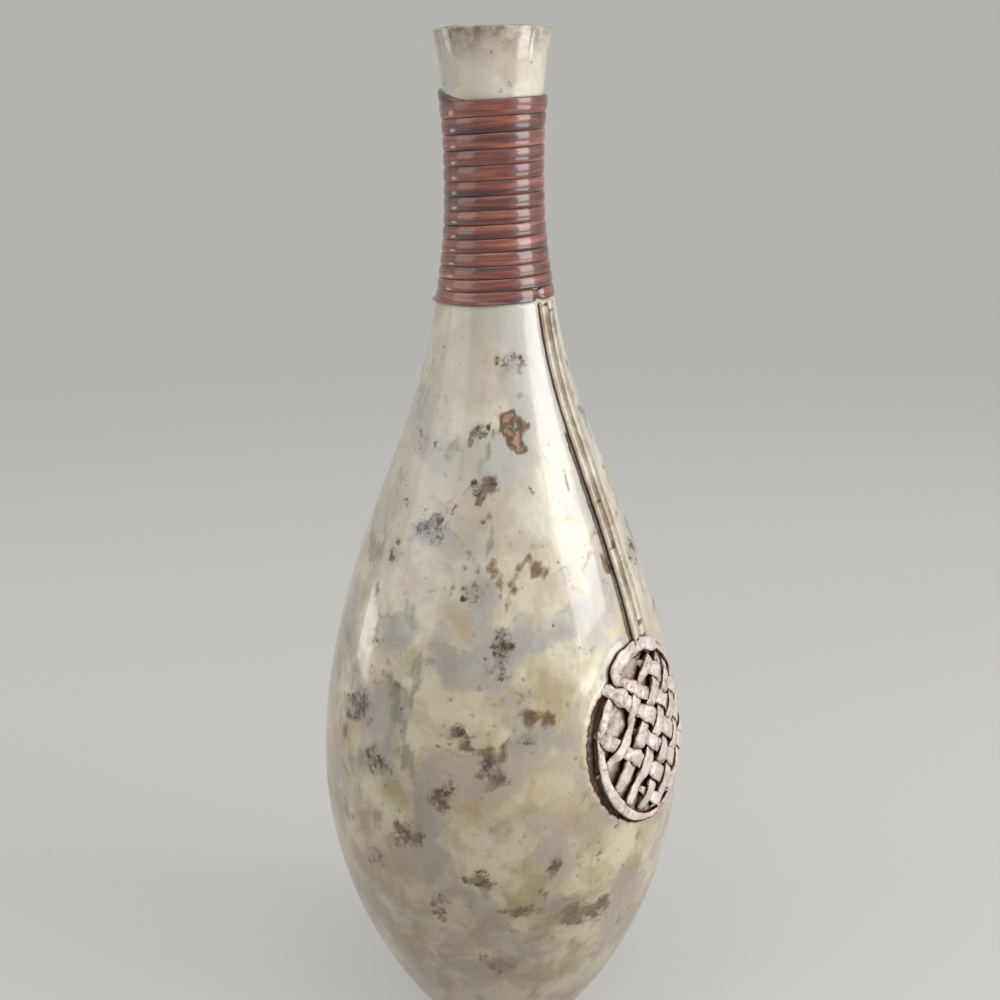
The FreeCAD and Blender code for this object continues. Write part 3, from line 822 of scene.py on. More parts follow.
# %% [markdown]
# ## Carving round the medallion
# The medallion lies in a round basin that was cut into the body, and a groove runs down the
# left of the cords. That needs a finer mesh than the rest of the body. The faces there are
# divided, their points are put back on the true outline, and then the tool marks are pushed in.

# %% Divide the shell where it is carved
def plan_of(points):
    """Across and up in the medallion's plan, in millimetres, of points on the shell."""
    around = np.arctan2(points[:, 1], points[:, 0]) - medallion_azimuth
    around = (around + math.pi) % full_turn - math.pi
    length = np.interp(points[:, 2], table_heights, table_lengths)
    return around * girth / mm, (length - medallion_length) / mm


basin_reach = 53.0
groove_reach = 11.0
fine_cuts = 3
bm = bmesh.new()
bm.from_mesh(shell.data)
middles = np.array([face.calc_center_median() for face in bm.faces])
across_face, up_face = plan_of(middles)
radius_face = np.hypot(middles[:, 0], middles[:, 1])
outer_face = radius_face > np.interp(middles[:, 2], table_heights, table_radii) - 2 * mm
outer_face &= middles[:, 2] < body[-1, 1]
near_cords = abs(across_face * radius_face / girth) < groove_reach
fine = outer_face & ((np.hypot(across_face, up_face) < basin_reach) | (near_cords & (up_face > 0)))
edges = {edge for face, keep in zip(bm.faces, fine) if keep for edge in face.edges}
bmesh.ops.subdivide_edges(bm, edges=list(edges), cuts=fine_cuts, use_grid_fill=True)
bmesh.ops.triangulate(bm, faces=[face for face in bm.faces if len(face.verts) > 4])
bm.to_mesh(shell.data)
bm.free()
print("shell divided:", len(shell.data.vertices), "vertices")

# %% Push in the basin, the gap beside the rim and the groove
points = coordinates(shell.data)
radius = np.hypot(points[:, 0], points[:, 1])
true_radius = outer_radius(points[:, 2])
on_outside = (radius > true_radius - 1.5 * mm) & (points[:, 2] > foot_edge_height)
across, up = plan_of(points)
rho = np.hypot(across, up)
bearing = np.degrees(np.arctan2(up, across)) % 360


def noise_field(scale, seed, detail=3):
    """Smooth noise on the shell's points, about -1 to 1, for features 1 / scale mm wide."""
    return np.array([noise.fractal(Vector(q) * scale / mm + Vector((seed, 0, 0)), 0.6, 2.1, detail)
                     if near else 0.0 for q, near in zip(points.tolist(), close)])


basin_depth = 1.7
swelling_height = 0.75
groove_across = -6.5
groove_half_width = 0.9
close = on_outside & ((rho < 60) | (abs(across) < 24))
ragged = noise_field(0.35, 11.0)
wall_at = np.interp(bearing, [0, 60, 84, 100, 116, 124, 132, 140, 146, 165, 200, 230, 252, 285, 360],
                    [44.2, 44.2, 44.2, 46.2, 46.4, 45.2, 43.6, 43.8, 45.2, 45.0, 44.8, 44.6, 44.2,
                     44.0, 44.2])
basin_share = np.interp(bearing, [0, 84, 96, 106, 120, 127, 138, 143, 360],
                        [1, 0.7, 0.2, 0.6, 0.9, 0.2, 0.0, 1, 1])
basin_share = np.maximum(basin_share, 1 - smoothstep(38, 41, rho))
basin = 1 - smoothstep(wall_at - 0.9, wall_at + 0.5, rho + 1.0 * ragged)
basin = basin * basin_share
swelling = swelling_height * np.exp(-((rho - wall_at - 2.6) / 2.6) ** 2) * (rho > wall_at - 1)
band = np.exp(-((bearing - 112) / 26) ** 2)
swelling = swelling * (0.5 + 0.35 * band)
groove_depth = np.interp(up, [44, 52, 95, 136, 150, 152, 200],
                         [0.5, 1.7, 1.5, 1.6, 1.9, 0.25, 0.15])
groove_middle = groove_across + 0.5 * ragged + 0.9 * smoothstep(110, 50, up)
beside = across * radius / girth
groove = np.exp(-((beside - groove_middle) / groove_half_width) ** 2) * (up > 43) * groove_depth
rough_ground = 0.12 * ragged * np.exp(-(np.maximum(rho - 44, 0) / 5) ** 2)
lift = -basin_depth * basin + swelling - groove + rough_ground
lift = np.where(close, lift, 0.0)

slope = np.gradient(table_radii, table_heights)
slope_here = np.interp(points[:, 2], table_heights, slope)
out_share = 1 / np.sqrt(1 + slope_here ** 2)
direction = points[:, :2] / np.maximum(radius, mm)[:, None]
new_radius = np.where(on_outside, true_radius, radius) + lift * mm * out_share
points[:, :2] = direction * new_radius[:, None]
points[:, 2] -= lift * mm * out_share * slope_here

# The hand-made lip waves a little, and its top is worn
lip_waves_per_metre = 60
lip_wave_height = 0.9
lip_wear = 0.25
lip_wave_share = 0.025
lip_wave = np.array([noise.noise(Vector((x, y, 0)) * lip_waves_per_metre)
                     for x, y in points[:, :2].tolist()])
at_lip = smoothstep(484 * mm, 498 * mm, points[:, 2])
points[:, 2] += (lip_wave_height * lip_wave - lip_wear) * mm * at_lip
points[:, :2] *= (1 + lip_wave_share * lip_wave * at_lip)[:, None]
shell.data.vertices.foreach_set("co", points.ravel())
shell.data.update()
print("carved:", int(np.count_nonzero(abs(lift) > 0.1)), "points moved more than 0.1 mm")

# %% [markdown]
# ## Where the dark wash settles and the painted shade lies
# The relief was brushed with a thin dark wash and wiped, so the wash stayed in the crevices.
# A crevice is a place from which little is seen: short rays leave each point of the relief in
# fixed directions, and the share that hits something near, weighted by how near, is stored on
# the point as `crevice`. The material turns that number into the wash and into painted shade.

# %% Cast short rays from each point of the relief
crevice_reach = 5.5 * mm
ray_count = 16
golden_angle = math.pi * (3 - math.sqrt(5))
sky_share = 0.94
start_off = 0.06 * mm
ray_pattern = []
for k in range(ray_count):
    height = math.sqrt(1 - (k + 0.5) / ray_count * sky_share)
    width = math.sqrt(1 - height ** 2)
    ray_pattern.append((width * math.cos(k * golden_angle), width * math.sin(k * golden_angle), height))


def normals_of(mesh):
    """The vertex normals as an array of rows."""
    flat = np.empty(len(mesh.vertices) * 3)
    mesh.vertex_normals.foreach_get("vector", flat)
    return flat.reshape(-1, 3)


relief = [ground, rim, *cords, *straps]
all_points, all_faces = [], []
for piece in [shell, *relief]:
    start = len(all_points)
    all_points += coordinates(piece.data).tolist()
    all_faces += [[start + v for v in face.vertices] for face in piece.data.polygons]
surroundings = BVHTree.FromPolygons(all_points, all_faces)


def crevice_of(point, normal):
    """How much of the view outwards from a point is closed by something near, 0 to 1."""
    z = Vector(normal)
    x = z.orthogonal().normalized()
    y = z.cross(x)
    origin = Vector(point) + z * start_off
    closed_share = 0.0
    for a, b, c in ray_pattern:
        hit = surroundings.ray_cast(origin, x * a + y * b + z * c, crevice_reach)[3]
        if hit is not None:
            closed_share += 1 - hit / crevice_reach
    return closed_share / ray_count


def store(mesh, name, numbers):
    """Stores one number per vertex under a name that a material can read."""
    mesh.attributes.new(name, "FLOAT", "POINT").data.foreach_set("value", numbers)


for piece in relief:
    store(piece.data, "crevice", [crevice_of(p, n) for p, n in
                                  zip(coordinates(piece.data), normals_of(piece.data))])
shell_points = coordinates(shell.data)
shell_normals = normals_of(shell.data)
beside_relief = on_outside & (((rho < 52) & (rho > 38)) | ((abs(beside) < 10) & (up > 40)))
shell_crevice = np.zeros(len(shell_points))
for k in np.flatnonzero(beside_relief):
    shell_crevice[k] = crevice_of(shell_points[k], shell_normals[k])
store(shell.data, "crevice", shell_crevice)
store(shell.data, "basin", np.where(on_outside, np.clip(basin, 0, 1), 0.0))
print("crevices:", len(all_points), "points round, deepest on the ground",
      round(max(value.value for value in ground.data.attributes["crevice"].data), 2))

# %% [markdown]
# ## Where the lacquer pooled
# The painter let cream lacquer run over a lilac-grey coat, then added brown and olive strokes
# with a brush and let moss-like specks bloom in the wet paint. The front's marks were placed on
# the photograph, so they are listed in its pixels. A spot has its place across and down,
# half a width, half a height and a strength. A stroke has its points, half a width and a
# strength. The camera set up above and the outline turn each into an angle from the camera's
# side in degrees, and a height and sizes in millimetres. The back gets marks of the same kind
# from seeded random numbers. Each mark is a soft field on the shell's points, and the material
# breaks it up with noise.

# %% Measure a place on the photo as a place on the vase
sight_from, sight_to, sight_step = 500, 760, 0.05
sight_steps = np.arange(sight_from, sight_to, sight_step) * mm


def seen_at(x, y):
    """Angle from the camera's side, height and radius where a photo pixel meets the vase."""
    middle = photo_pixels / 2
    towards = Vector((x - middle, middle - y, -focal_pixels)).normalized()
    towards = camera.matrix_world.to_3x3() @ towards
    sight = np.array(camera.location) + sight_steps[:, None] * np.array(towards)
    surface = np.interp(sight[:, 2], table_heights, table_radii)
    spot = sight[np.argmax(np.hypot(sight[:, 0], sight[:, 1]) < surface)]
    seen_angle = math.degrees(math.atan2(spot[1], spot[0]) - photo_azimuth)
    return (seen_angle + 180) % 360 - 180, spot[2] / mm, math.hypot(spot[0], spot[1]) / mm


def measured(x, y, half_x, half_y):
    """A patch of the photo on the vase: angle, height, half width and half height."""
    seen_angle, seen_height, seen_radius = seen_at(x, y)
    left, right, above, below = [seen_at(x + dx, y + dy)
                                 for dx, dy in ((-1, 0), (1, 0), (0, -1), (0, 1))]
    pixel_across = math.radians(abs(right[0] - left[0])) / 2 * seen_radius
    pixel_up = math.hypot(above[1] - below[1], above[2] - below[2]) / 2
    return (round(seen_angle), round(seen_height),
            round(pixel_across * half_x, 1), round(pixel_up * half_y, 1))


# %% The pools and specks of the front
pools_in_photo = [
    (470, 385, 24, 50, 1), (455, 330, 18, 30, 0.5), (530, 380, 26, 60, -0.7),
    (570, 430, 30, 90, -0.7), (505, 470, 34, 24, -0.9), (432, 445, 22, 16, -0.8),
    (485, 495, 16, 14, -0.7), (420, 525, 20, 14, -0.9), (465, 540, 30, 20, -0.7),
    (400, 480, 16, 40, 0.4), (450, 490, 22, 30, 0.3), (540, 520, 34, 40, 0.35),
    (425, 590, 32, 26, 0.5), (482, 590, 14, 50, -0.9), (520, 575, 30, 26, 0.9),
    (535, 615, 26, 14, -0.3), (545, 590, 16, 24, 0.6), (400, 620, 20, 40, -0.3),
    (450, 625, 22, 16, 0.4), (500, 655, 30, 24, -0.8), (545, 640, 30, 24, -0.8),
    (478, 672, 26, 20, -0.7), (520, 690, 20, 14, -0.6), (425, 680, 28, 22, 0.5),
    (548, 695, 20, 32, 0.9), (475, 715, 44, 26, 1), (492, 742, 18, 14, 1), (440, 740, 12, 10, 0.6),
    (455, 752, 16, 14, -1), (530, 745, 22, 24, -1), (480, 775, 40, 16, -1),
    (560, 720, 16, 60, -0.3), (375, 770, 26, 20, -0.6), (395, 730, 12, 40, -0.5),
    (350, 700, 16, 60, 0.3), (345, 800, 14, 30, 0.3), (405, 805, 18, 22, 0.8),
    (428, 818, 14, 18, -1), (440, 850, 20, 18, -0.9), (405, 862, 24, 10, -0.8),
    (390, 830, 10, 10, 0.3), (500, 800, 18, 14, -0.6), (485, 850, 40, 34, 0.9),
    (540, 790, 20, 12, 0.3), (545, 830, 20, 20, -0.9), (560, 860, 16, 20, -0.7),
    (525, 850, 16, 30, 0.6), (590, 830, 26, 30, 0.3), (420, 890, 30, 24, 0.6),
    (480, 895, 26, 14, -0.4), (555, 905, 22, 14, -0.8), (520, 900, 16, 16, 0.4),
    (460, 930, 40, 18, 0.4), (500, 970, 40, 14, -0.6), (600, 900, 16, 20, 0.4),
    (590, 950, 20, 20, 0.4), (540, 950, 26, 16, 0.3)]
specks_in_photo = [
    (434, 526, 16, 14, 1), (473, 592, 13, 14, 1), (360, 702, 12, 14, 0.9), (377, 632, 8, 8, 0.8),
    (455, 736, 14, 8, 1), (490, 766, 14, 12, 1.2), (527, 740, 11, 9, 0.9), (500, 652, 12, 18, 1),
    (500, 680, 6, 9, 0.9), (480, 433, 16, 5, 0.8), (484, 490, 10, 14, 1), (484, 520, 6, 6, 0.9),
    (394, 550, 7, 18, 0.6), (376, 762, 18, 14, 0.9), (440, 800, 11, 15, 1.1),
    (404, 834, 17, 12, 1.3), (484, 882, 22, 9, 1), (551, 868, 9, 10, 1), (586, 912, 24, 10, 1.3),
    (520, 914, 22, 6, 0.9), (440, 908, 9, 12, 0.8), (497, 966, 22, 10, 0.9),
    (372, 856, 10, 12, 0.8), (512, 363, 16, 10, 0.8), (536, 546, 5, 9, 0.9),
    (430, 445, 16, 8, 0.5)]
pools, specks = [[(*measured(*spot[:4]), spot[4]) for spot in spots]
                 for spots in (pools_in_photo, specks_in_photo)]

# One more of each, near the left edge, given straight as a place on the vase
pools.append((-62, 330, 7, 12, -0.6))
specks.append((-56, 187, 8.3, 6.2, 0.8))
print("first pool:", pools[0], "first specks:", specks[0])

# %% The brown and olive strokes of the front
brown_in_photo = [
    ([(494, 570), (502, 600)], 3.2, 1), ([(522, 564), (510, 598)], 3.2, 1),
    ([(530, 562), (538, 572), (548, 568)], 3.4, 1.1),
    ([(504, 636), (502, 656), (488, 669)], 3, 0.9), ([(502, 674), (498, 686)], 2.5, 0.7),
    ([(522, 707), (536, 718), (550, 719)], 4, 1.15),
    ([(466, 746), (482, 755), (500, 755), (509, 745)], 3.8, 1.2),
    ([(444, 730), (464, 738)], 2.5, 0.9), ([(470, 430), (496, 434)], 2, 0.8),
    ([(488, 479), (490, 490), (482, 499)], 3.3, 1.1),
    ([(396, 826), (404, 836), (414, 838)], 4.7, 1.3), ([(470, 880), (484, 884), (496, 880)], 4.6, 1),
    ([(506, 914), (525, 913), (544, 911)], 3.8, 1.1),
    ([(566, 919), (586, 910), (606, 904)], 4, 1.2), ([(434, 898), (444, 920)], 3.4, 0.9),
    ([(436, 786), (446, 800), (440, 812)], 3.4, 1), ([(546, 862), (553, 874)], 3.5, 1),
    ([(488, 968), (506, 964)], 5.4, 1), ([(518, 392), (518, 404)], 1.6, 0.7),
    ([(536, 538), (538, 552)], 1.6, 0.8), ([(474, 554), (478, 570)], 2, 1)]
olive_in_photo = [
    ([(390, 672), (396, 700), (400, 740), (408, 768)], 4.8, 1.2),
    ([(434, 658), (424, 664), (416, 672)], 3, 0.9), ([(416, 680), (412, 708)], 3, 1),
    ([(346, 632), (352, 656), (354, 688)], 2.6, 1), ([(360, 662), (354, 684)], 2.2, 0.8),
    ([(338, 655), (338, 675)], 2.2, 0.8), ([(404, 592), (410, 602), (415, 622)], 3.6, 0.9),
    ([(401, 472), (397, 488)], 2.6, 0.8), ([(402, 474), (407, 488)], 2.2, 0.8),
    ([(372, 530), (376, 556)], 4.5, 1), ([(386, 530), (382, 548)], 3, 0.8),
    ([(442, 456), (450, 452), (458, 448)], 4.7, 0.9), ([(422, 394), (418, 414)], 4.5, 0.7),
    ([(352, 760), (358, 790)], 3.2, 0.8), ([(366, 840), (376, 862)], 4, 0.7),
    ([(340, 700), (344, 740)], 3, 0.8)]
brown_strokes, olive_strokes = [
    [([measured(x, y, half, half)[:2] for x, y in line], measured(*line[-1], half, half)[2], strength)
     for line, half, strength in strokes] for strokes in (brown_in_photo, olive_in_photo)]

# Two more brown strokes, given straight as places on the vase
brown_strokes += [([(9, 325), (11, 321), (13, 319)], 4.6, 1.65), ([(-1, 173), (-2, 168)], 2.6, 0.9)]
print("first brown stroke:", brown_strokes[0])

# %% The marks of the back, and all marks as fields on the shell
dice = np.random.default_rng(7)
hidden_from, hidden_to = 62, 285
for spots, count, wide, tall, strongest in ((pools, 90, (7, 20), (6, 24), 1.0),
                                            (specks, 44, (4, 10), (3, 8), 1.3)):
    for k in range(count):
        sign = -1 if spots is pools and k % 2 else 1
        spots.append((dice.uniform(hidden_from, hidden_to), dice.uniform(40, 365),
                      dice.uniform(*wide), dice.uniform(*tall),
                      sign * dice.uniform(0.4, strongest)))
for strokes, count, steps, drop in ((brown_strokes, 40, 3, (-3, 3)), (olive_strokes, 26, 4, (-9, -3))):
    for k in range(count):
        at = (dice.uniform(hidden_from, hidden_to), dice.uniform(45, 360))
        line = [at]
        for j in range(steps - 1):
            at = (at[0] + dice.uniform(-4, 4), at[1] + dice.uniform(*drop))
            line.append(at)
        strokes.append((line, dice.uniform(1.2, 3.0), dice.uniform(0.7, 1.3)))
shell_around = np.degrees(np.arctan2(shell_points[:, 1], shell_points[:, 0]) - photo_azimuth)


warp_size = 9.0
warp_reach = 4.5
warps = [np.array([noise.fractal(Vector(q) / (warp_size * mm) + Vector((seed, 0, 0)), 0.7, 2.0, 3)
                   for q in shell_points.tolist()]) * warp_reach for seed in (3.0, 23.0)]


def off_by(angle, height):
    """How far the shell's points lie from a place on it, in millimetres round and up, warped."""
    off = (shell_around - angle + 180) % 360 - 180
    return (np.radians(off) * radius / mm + warps[0],
            shell_points[:, 2] / mm - height + warps[1])


def spotted(spots):
    """The sum of soft spots on the shell's points."""
    total = np.zeros(len(shell_points))
    for angle, height, half_width, half_height, strength in spots:
        x, y = off_by(angle, height)
        total += strength * np.exp(-((x / half_width) ** 2 + (y / half_height) ** 2) ** 1.5)
    return np.where(on_outside, total, 0.0)


stroke_softness = 2.3


def stroked(strokes):
    """The strongest of soft brush strokes at each of the shell's points."""
    total = np.zeros(len(shell_points))
    for line, half_width, strength in strokes:
        for (angle, height), (next_angle, next_height) in zip(line, line[1:]):
            x, y = off_by(angle, height)
            far_x, far_y = off_by(next_angle, next_height)
            run_x, run_y = x - far_x, y - far_y
            gone = (x * run_x + y * run_y) / (run_x ** 2 + run_y ** 2)
            gone = np.clip(gone, 0, 1)
            away = np.hypot(x - gone * run_x, y - gone * run_y)
            soft = np.maximum(away - half_width + 1, 0) / stroke_softness
            total = np.maximum(total, strength * np.exp(-soft ** 2))
    return np.where(on_outside, total, 0.0)


for name, marks in (("pool", spotted(pools)), ("specks", spotted(specks)),
                    ("brown", stroked(brown_strokes)), ("olive", stroked(olive_strokes))):
    store(shell.data, name, marks)
print("marks:", len(pools), "pools,", len(specks), "speck patches,", len(brown_strokes), "brown and",
      len(olive_strokes), "olive strokes")

# %% [markdown]
# ## Lacquered faux stone
# The body is ceramic, painted to look like stone and sealed with a clear gloss lacquer. To the
# eye that is a soft, cloudy pattern seen under a shiny skin: cream pools with lobed edges over
# lilac grey, brown where the pools end, moss-like dark specks, and olive strokes. Noise gives
# each part. A first noise bends the coordinates, so that no edge runs straight.

# %% The faux stone's pattern
faux_stone.use_nodes = True
stone = faux_stone.node_tree
where = add(stone, "ShaderNodeTexCoord").outputs["Object"]
tall = add(stone, "ShaderNodeMapping", {"Vector": where, "Scale": (1, 1, 0.4)})
runny = add(stone, "ShaderNodeMapping", {"Vector": where, "Scale": (1, 1, 0.14)})
pool, specks_here, brown, olive, basin_here, crevice_here = [
    add(stone, "ShaderNodeAttribute", attribute_name=name).outputs["Fac"]
    for name in ("pool", "specks", "brown", "olive", "basin", "crevice")]

bending = add(stone, NOISE, {"Vector": where, "Scale": 1 / (14 * mm), "Detail": 2.5})
bent = add(stone, VECTOR, {0: bending.outputs["Color"], 1: (-0.5, -0.5, -0.5)}, operation="ADD")
bend = add(stone, VECTOR, {0: bent, "Scale": 15 * mm}, operation="SCALE")
lobed = add(stone, VECTOR, {0: where, 1: bend}, operation="ADD")

# Cream pools over grey, and the same a little higher up, whose difference marks lower edges
raised = add(stone, VECTOR, {0: lobed, 1: (0, 0, 2.2 * mm)}, operation="ADD")
zone = add(stone, NOISE, {"Vector": lobed, "Scale": 1 / (30 * mm), "Detail": 2.5, "Roughness": 0.5})
above = add(stone, NOISE, {"Vector": raised, "Scale": 1 / (30 * mm), "Detail": 2.5,
                           "Roughness": 0.5})
level_here = add(stone, MATH, {0: pool, 1: 0.16, 2: zone}, operation="MULTIPLY_ADD")
level_above = add(stone, MATH, {0: pool, 1: 0.16, 2: above}, operation="MULTIPLY_ADD")
cream = add(stone, RANGE, {0: level_here, 1: 0.36, 2: 0.56}, interpolation_type="SMOOTHSTEP")
pooled = add(stone, RANGE, {0: level_here, 1: 0.45, 2: 0.5}, interpolation_type="SMOOTHSTEP")
pooled_above = add(stone, RANGE, {0: level_above, 1: 0.45, 2: 0.5},
                   interpolation_type="SMOOTHSTEP")
edge = add(stone, MATH, {0: pooled_above, 1: pooled}, operation="SUBTRACT", use_clamp=True)

cloud = add(stone, NOISE, {"Vector": lobed, "W": 4.0, "Scale": 1 / (22 * mm), "Detail": 4.0,
                           "Roughness": 0.55}, noise_dimensions="4D")
mist = add(stone, NOISE, {"Vector": tall, "W": 7.0, "Scale": 1 / (10 * mm), "Detail": 5.0,
                          "Roughness": 0.6}, noise_dimensions="4D")
warm = add(stone, NOISE, {"Vector": where, "W": 9.0, "Scale": 1 / (45 * mm), "Detail": 2.0},
           noise_dimensions="4D")
ochre_share = add(stone, RANGE, {0: cloud, 1: 0.44, 2: 0.62})
mist_share = add(stone, RANGE, {0: mist, 1: 0.36, 2: 0.64})
warm_share = add(stone, RANGE, {0: warm, 1: 0.48, 2: 0.66, 3: 0.0, 4: 0.6})
creamy = add(stone, MIX, {0: ochre_share, 6: "#D3C9A9", 7: "#AB966D"}, data_type="RGBA")
greyish = add(stone, MIX, {0: mist_share, 6: "#AFABA4", 7: "#887E74"}, data_type="RGBA")
base = add(stone, MIX, {0: cream, 6: greyish, 7: creamy}, data_type="RGBA")
warmed = add(stone, MIX, {0: warm_share, 6: base, 7: "#BFA688"}, data_type="RGBA")
veil = add(stone, MATH, {0: mist_share, 1: 0.25}, operation="MULTIPLY")
veiled = add(stone, MIX, {0: veil, 6: warmed, 7: "#C9C6BD"}, data_type="RGBA")
height_here = add(stone, "ShaderNodeSeparateXYZ", {0: where}).outputs["Z"]
high_up = add(stone, RANGE, {0: height_here, 1: 0.17, 2: 0.33, 3: 0.0, 4: 0.4},
              interpolation_type="SMOOTHSTEP")
paled = add(stone, MIX, {0: high_up, 6: veiled, 7: "#DBD9D0"}, data_type="RGBA")

# Where a pool ends the pigment gathers: a faint ochre line, strong only in some places
broken = add(stone, NOISE, {"Vector": where, "W": 2.0, "Scale": 1 / (6 * mm), "Detail": 6.0,
                            "Roughness": 0.68}, noise_dimensions="4D")
some = add(stone, NOISE, {"Vector": where, "W": 12.0, "Scale": 1 / (26 * mm), "Detail": 1.0},
           noise_dimensions="4D")
somewhere = add(stone, RANGE, {0: some, 1: 0.42, 2: 0.62, 3: 0.2, 4: 1.0})
patchy = add(stone, RANGE, {0: broken, 1: 0.38, 2: 0.6})
edge_broken = add(stone, MATH, {0: edge, 1: patchy}, operation="MULTIPLY")
edge_share = add(stone, MATH, {0: edge_broken, 1: somewhere}, operation="MULTIPLY", use_clamp=True)
edged = add(stone, MIX, {0: edge_share, 6: paled, 7: "#8E7654"}, data_type="RGBA")

# Round dots of thinner brown, scattered in the cream
dots = add(stone, "ShaderNodeTexVoronoi", {"Vector": where, "Scale": 1 / (8 * mm)})
dot_size = add(stone, MATH, {0: some, 1: 0.26, 2: -0.02}, operation="MULTIPLY_ADD")
dot_within = add(stone, MATH, {0: dot_size, 1: dots.outputs["Distance"]}, operation="SUBTRACT")
dot_share = add(stone, RANGE, {0: dot_within, 1: 0.0, 2: 0.07, 3: 0.0, 4: 0.75})
dot_cream = add(stone, MATH, {0: dot_share, 1: cream}, operation="MULTIPLY")
dotted = add(stone, MIX, {0: dot_cream, 6: edged, 7: "#94805D"}, data_type="RGBA")

# Olive and brown strokes: the soft field plus noise, cut at a level, gives a ragged brush mark
streaks = add(stone, NOISE, {"Vector": runny, "W": 5.0, "Scale": 1 / (3.5 * mm), "Detail": 4.0,
                             "Roughness": 0.62}, noise_dimensions="4D")
streaky = add(stone, RANGE, {0: streaks, 1: 0.36, 2: 0.6})
olive_rough = add(stone, MATH, {0: streaks, 1: 2.2, 2: olive}, operation="MULTIPLY_ADD")
olive_share = add(stone, RANGE, {0: olive_rough, 1: 1.5, 2: 2.3, 3: 0.0, 4: 0.75})
oliven = add(stone, MIX, {0: olive_share, 6: dotted, 7: "#7F7D68"}, data_type="RGBA")
brown_rough = add(stone, MATH, {0: broken, 1: 2.2, 2: brown}, operation="MULTIPLY_ADD")
brown_share = add(stone, RANGE, {0: brown_rough, 1: 1.55, 2: 2.1, 3: 0.0, 4: 0.92})
rust = add(stone, MIX, {0: warm_share, 6: "#7E6746", 7: "#85604A"}, data_type="RGBA")
core_share = add(stone, RANGE, {0: brown_rough, 1: 2.0, 2: 2.45})
stroke_tone = add(stone, MIX, {0: core_share, 6: rust, 7: "#543D28"}, data_type="RGBA")
browned = add(stone, MIX, {0: brown_share, 6: oliven, 7: stroke_tone}, data_type="RGBA")
peach_share = add(stone, RANGE, {0: brown_rough, 1: 2.6, 2: 2.7, 3: 0.0, 4: 0.9})
peach = add(stone, MIX, {0: mist_share, 6: "#BB9678", 7: "#98745B"}, data_type="RGBA")
peachy = add(stone, MIX, {0: peach_share, 6: browned, 7: peach}, data_type="RGBA")

# Moss-like specks: the narrow band where a fine noise crosses its middle value
threads = add(stone, NOISE, {"Vector": where, "W": 1.0, "Scale": 1 / (5 * mm), "Detail": 6.0,
                             "Roughness": 0.75}, noise_dimensions="4D")
off_middle = add(stone, MATH, {0: threads, 1: 0.5}, operation="SUBTRACT")
band_distance = add(stone, MATH, {0: off_middle}, operation="ABSOLUTE")
thin_thread = add(stone, RANGE, {0: band_distance, 1: 0.005, 2: 0.04, 3: 0.55, 4: 0.0})
blot = add(stone, RANGE, {0: threads, 1: 0.5, 2: 0.55})
thread = add(stone, MATH, {0: thin_thread, 1: blot}, operation="MAXIMUM")
speck_rough = add(stone, MATH, {0: broken, 1: 3.4, 2: specks_here}, operation="MULTIPLY_ADD")
speck_area = add(stone, RANGE, {0: speck_rough, 1: 2.05, 2: 2.35})
stray_area = add(stone, RANGE, {0: broken, 1: 0.62, 2: 0.7, 3: 0.0, 4: 0.7})
speck_where = add(stone, MATH, {0: speck_area, 1: stray_area}, operation="MAXIMUM")
speck = add(stone, MATH, {0: thread, 1: speck_where}, operation="MULTIPLY")
smoky = add(stone, MATH, {0: specks_here, 1: 0.4}, operation="MULTIPLY", use_clamp=True)
smoked = add(stone, MIX, {0: smoky, 6: peachy, 7: "#83756D"}, data_type="RGBA")
specked = add(stone, MIX, {0: speck, 6: smoked, 7: "#40301F"}, data_type="RGBA")

# The foot end is browner, the mouth is stained, and wash with painted shade lies in the gap by the
# medallion
low_down = add(stone, RANGE, {0: height_here, 1: 0.2, 2: 0.02, 3: 0.0, 4: 0.5})
low_patchy = add(stone, MATH, {0: low_down, 1: ochre_share, 2: low_down}, operation="MULTIPLY_ADD")
browner_towards_foot = add(stone, MIX, {0: low_patchy, 6: specked, 7: "#857050"}, data_type="RGBA")
mouth = add(stone, RANGE, {0: height_here, 1: 0.484, 2: 0.499, 3: 0.0, 4: 1.0})
mouth_patchy = add(stone, MATH, {0: mouth, 1: patchy}, operation="MULTIPLY")
stained = add(stone, MIX, {0: mouth_patchy, 6: browner_towards_foot, 7: "#7E6A55"}, data_type="RGBA")
# Painted shade with the wash: the crevice number and the basin's depth darken the shell next to the
# relief.
wash_and_shade_sum = add(stone, MATH, {0: crevice_here, 1: 1.9, 2: basin_here}, operation="MULTIPLY_ADD")
wash_and_shade_rough = add(stone, MATH, {0: streaks, 1: 0.8, 2: wash_and_shade_sum}, operation="MULTIPLY_ADD")
wash_and_shade_share = add(stone, RANGE, {0: wash_and_shade_rough, 1: 0.75, 2: 1.3})
wash_and_shade_tone = add(stone, MIX, {0: streaky, 6: "#2E160F", 7: "#6A4335"}, data_type="RGBA")
finished = add(stone, MIX, {0: wash_and_shade_share, 6: stained, 7: wash_and_shade_tone}, data_type="RGBA")

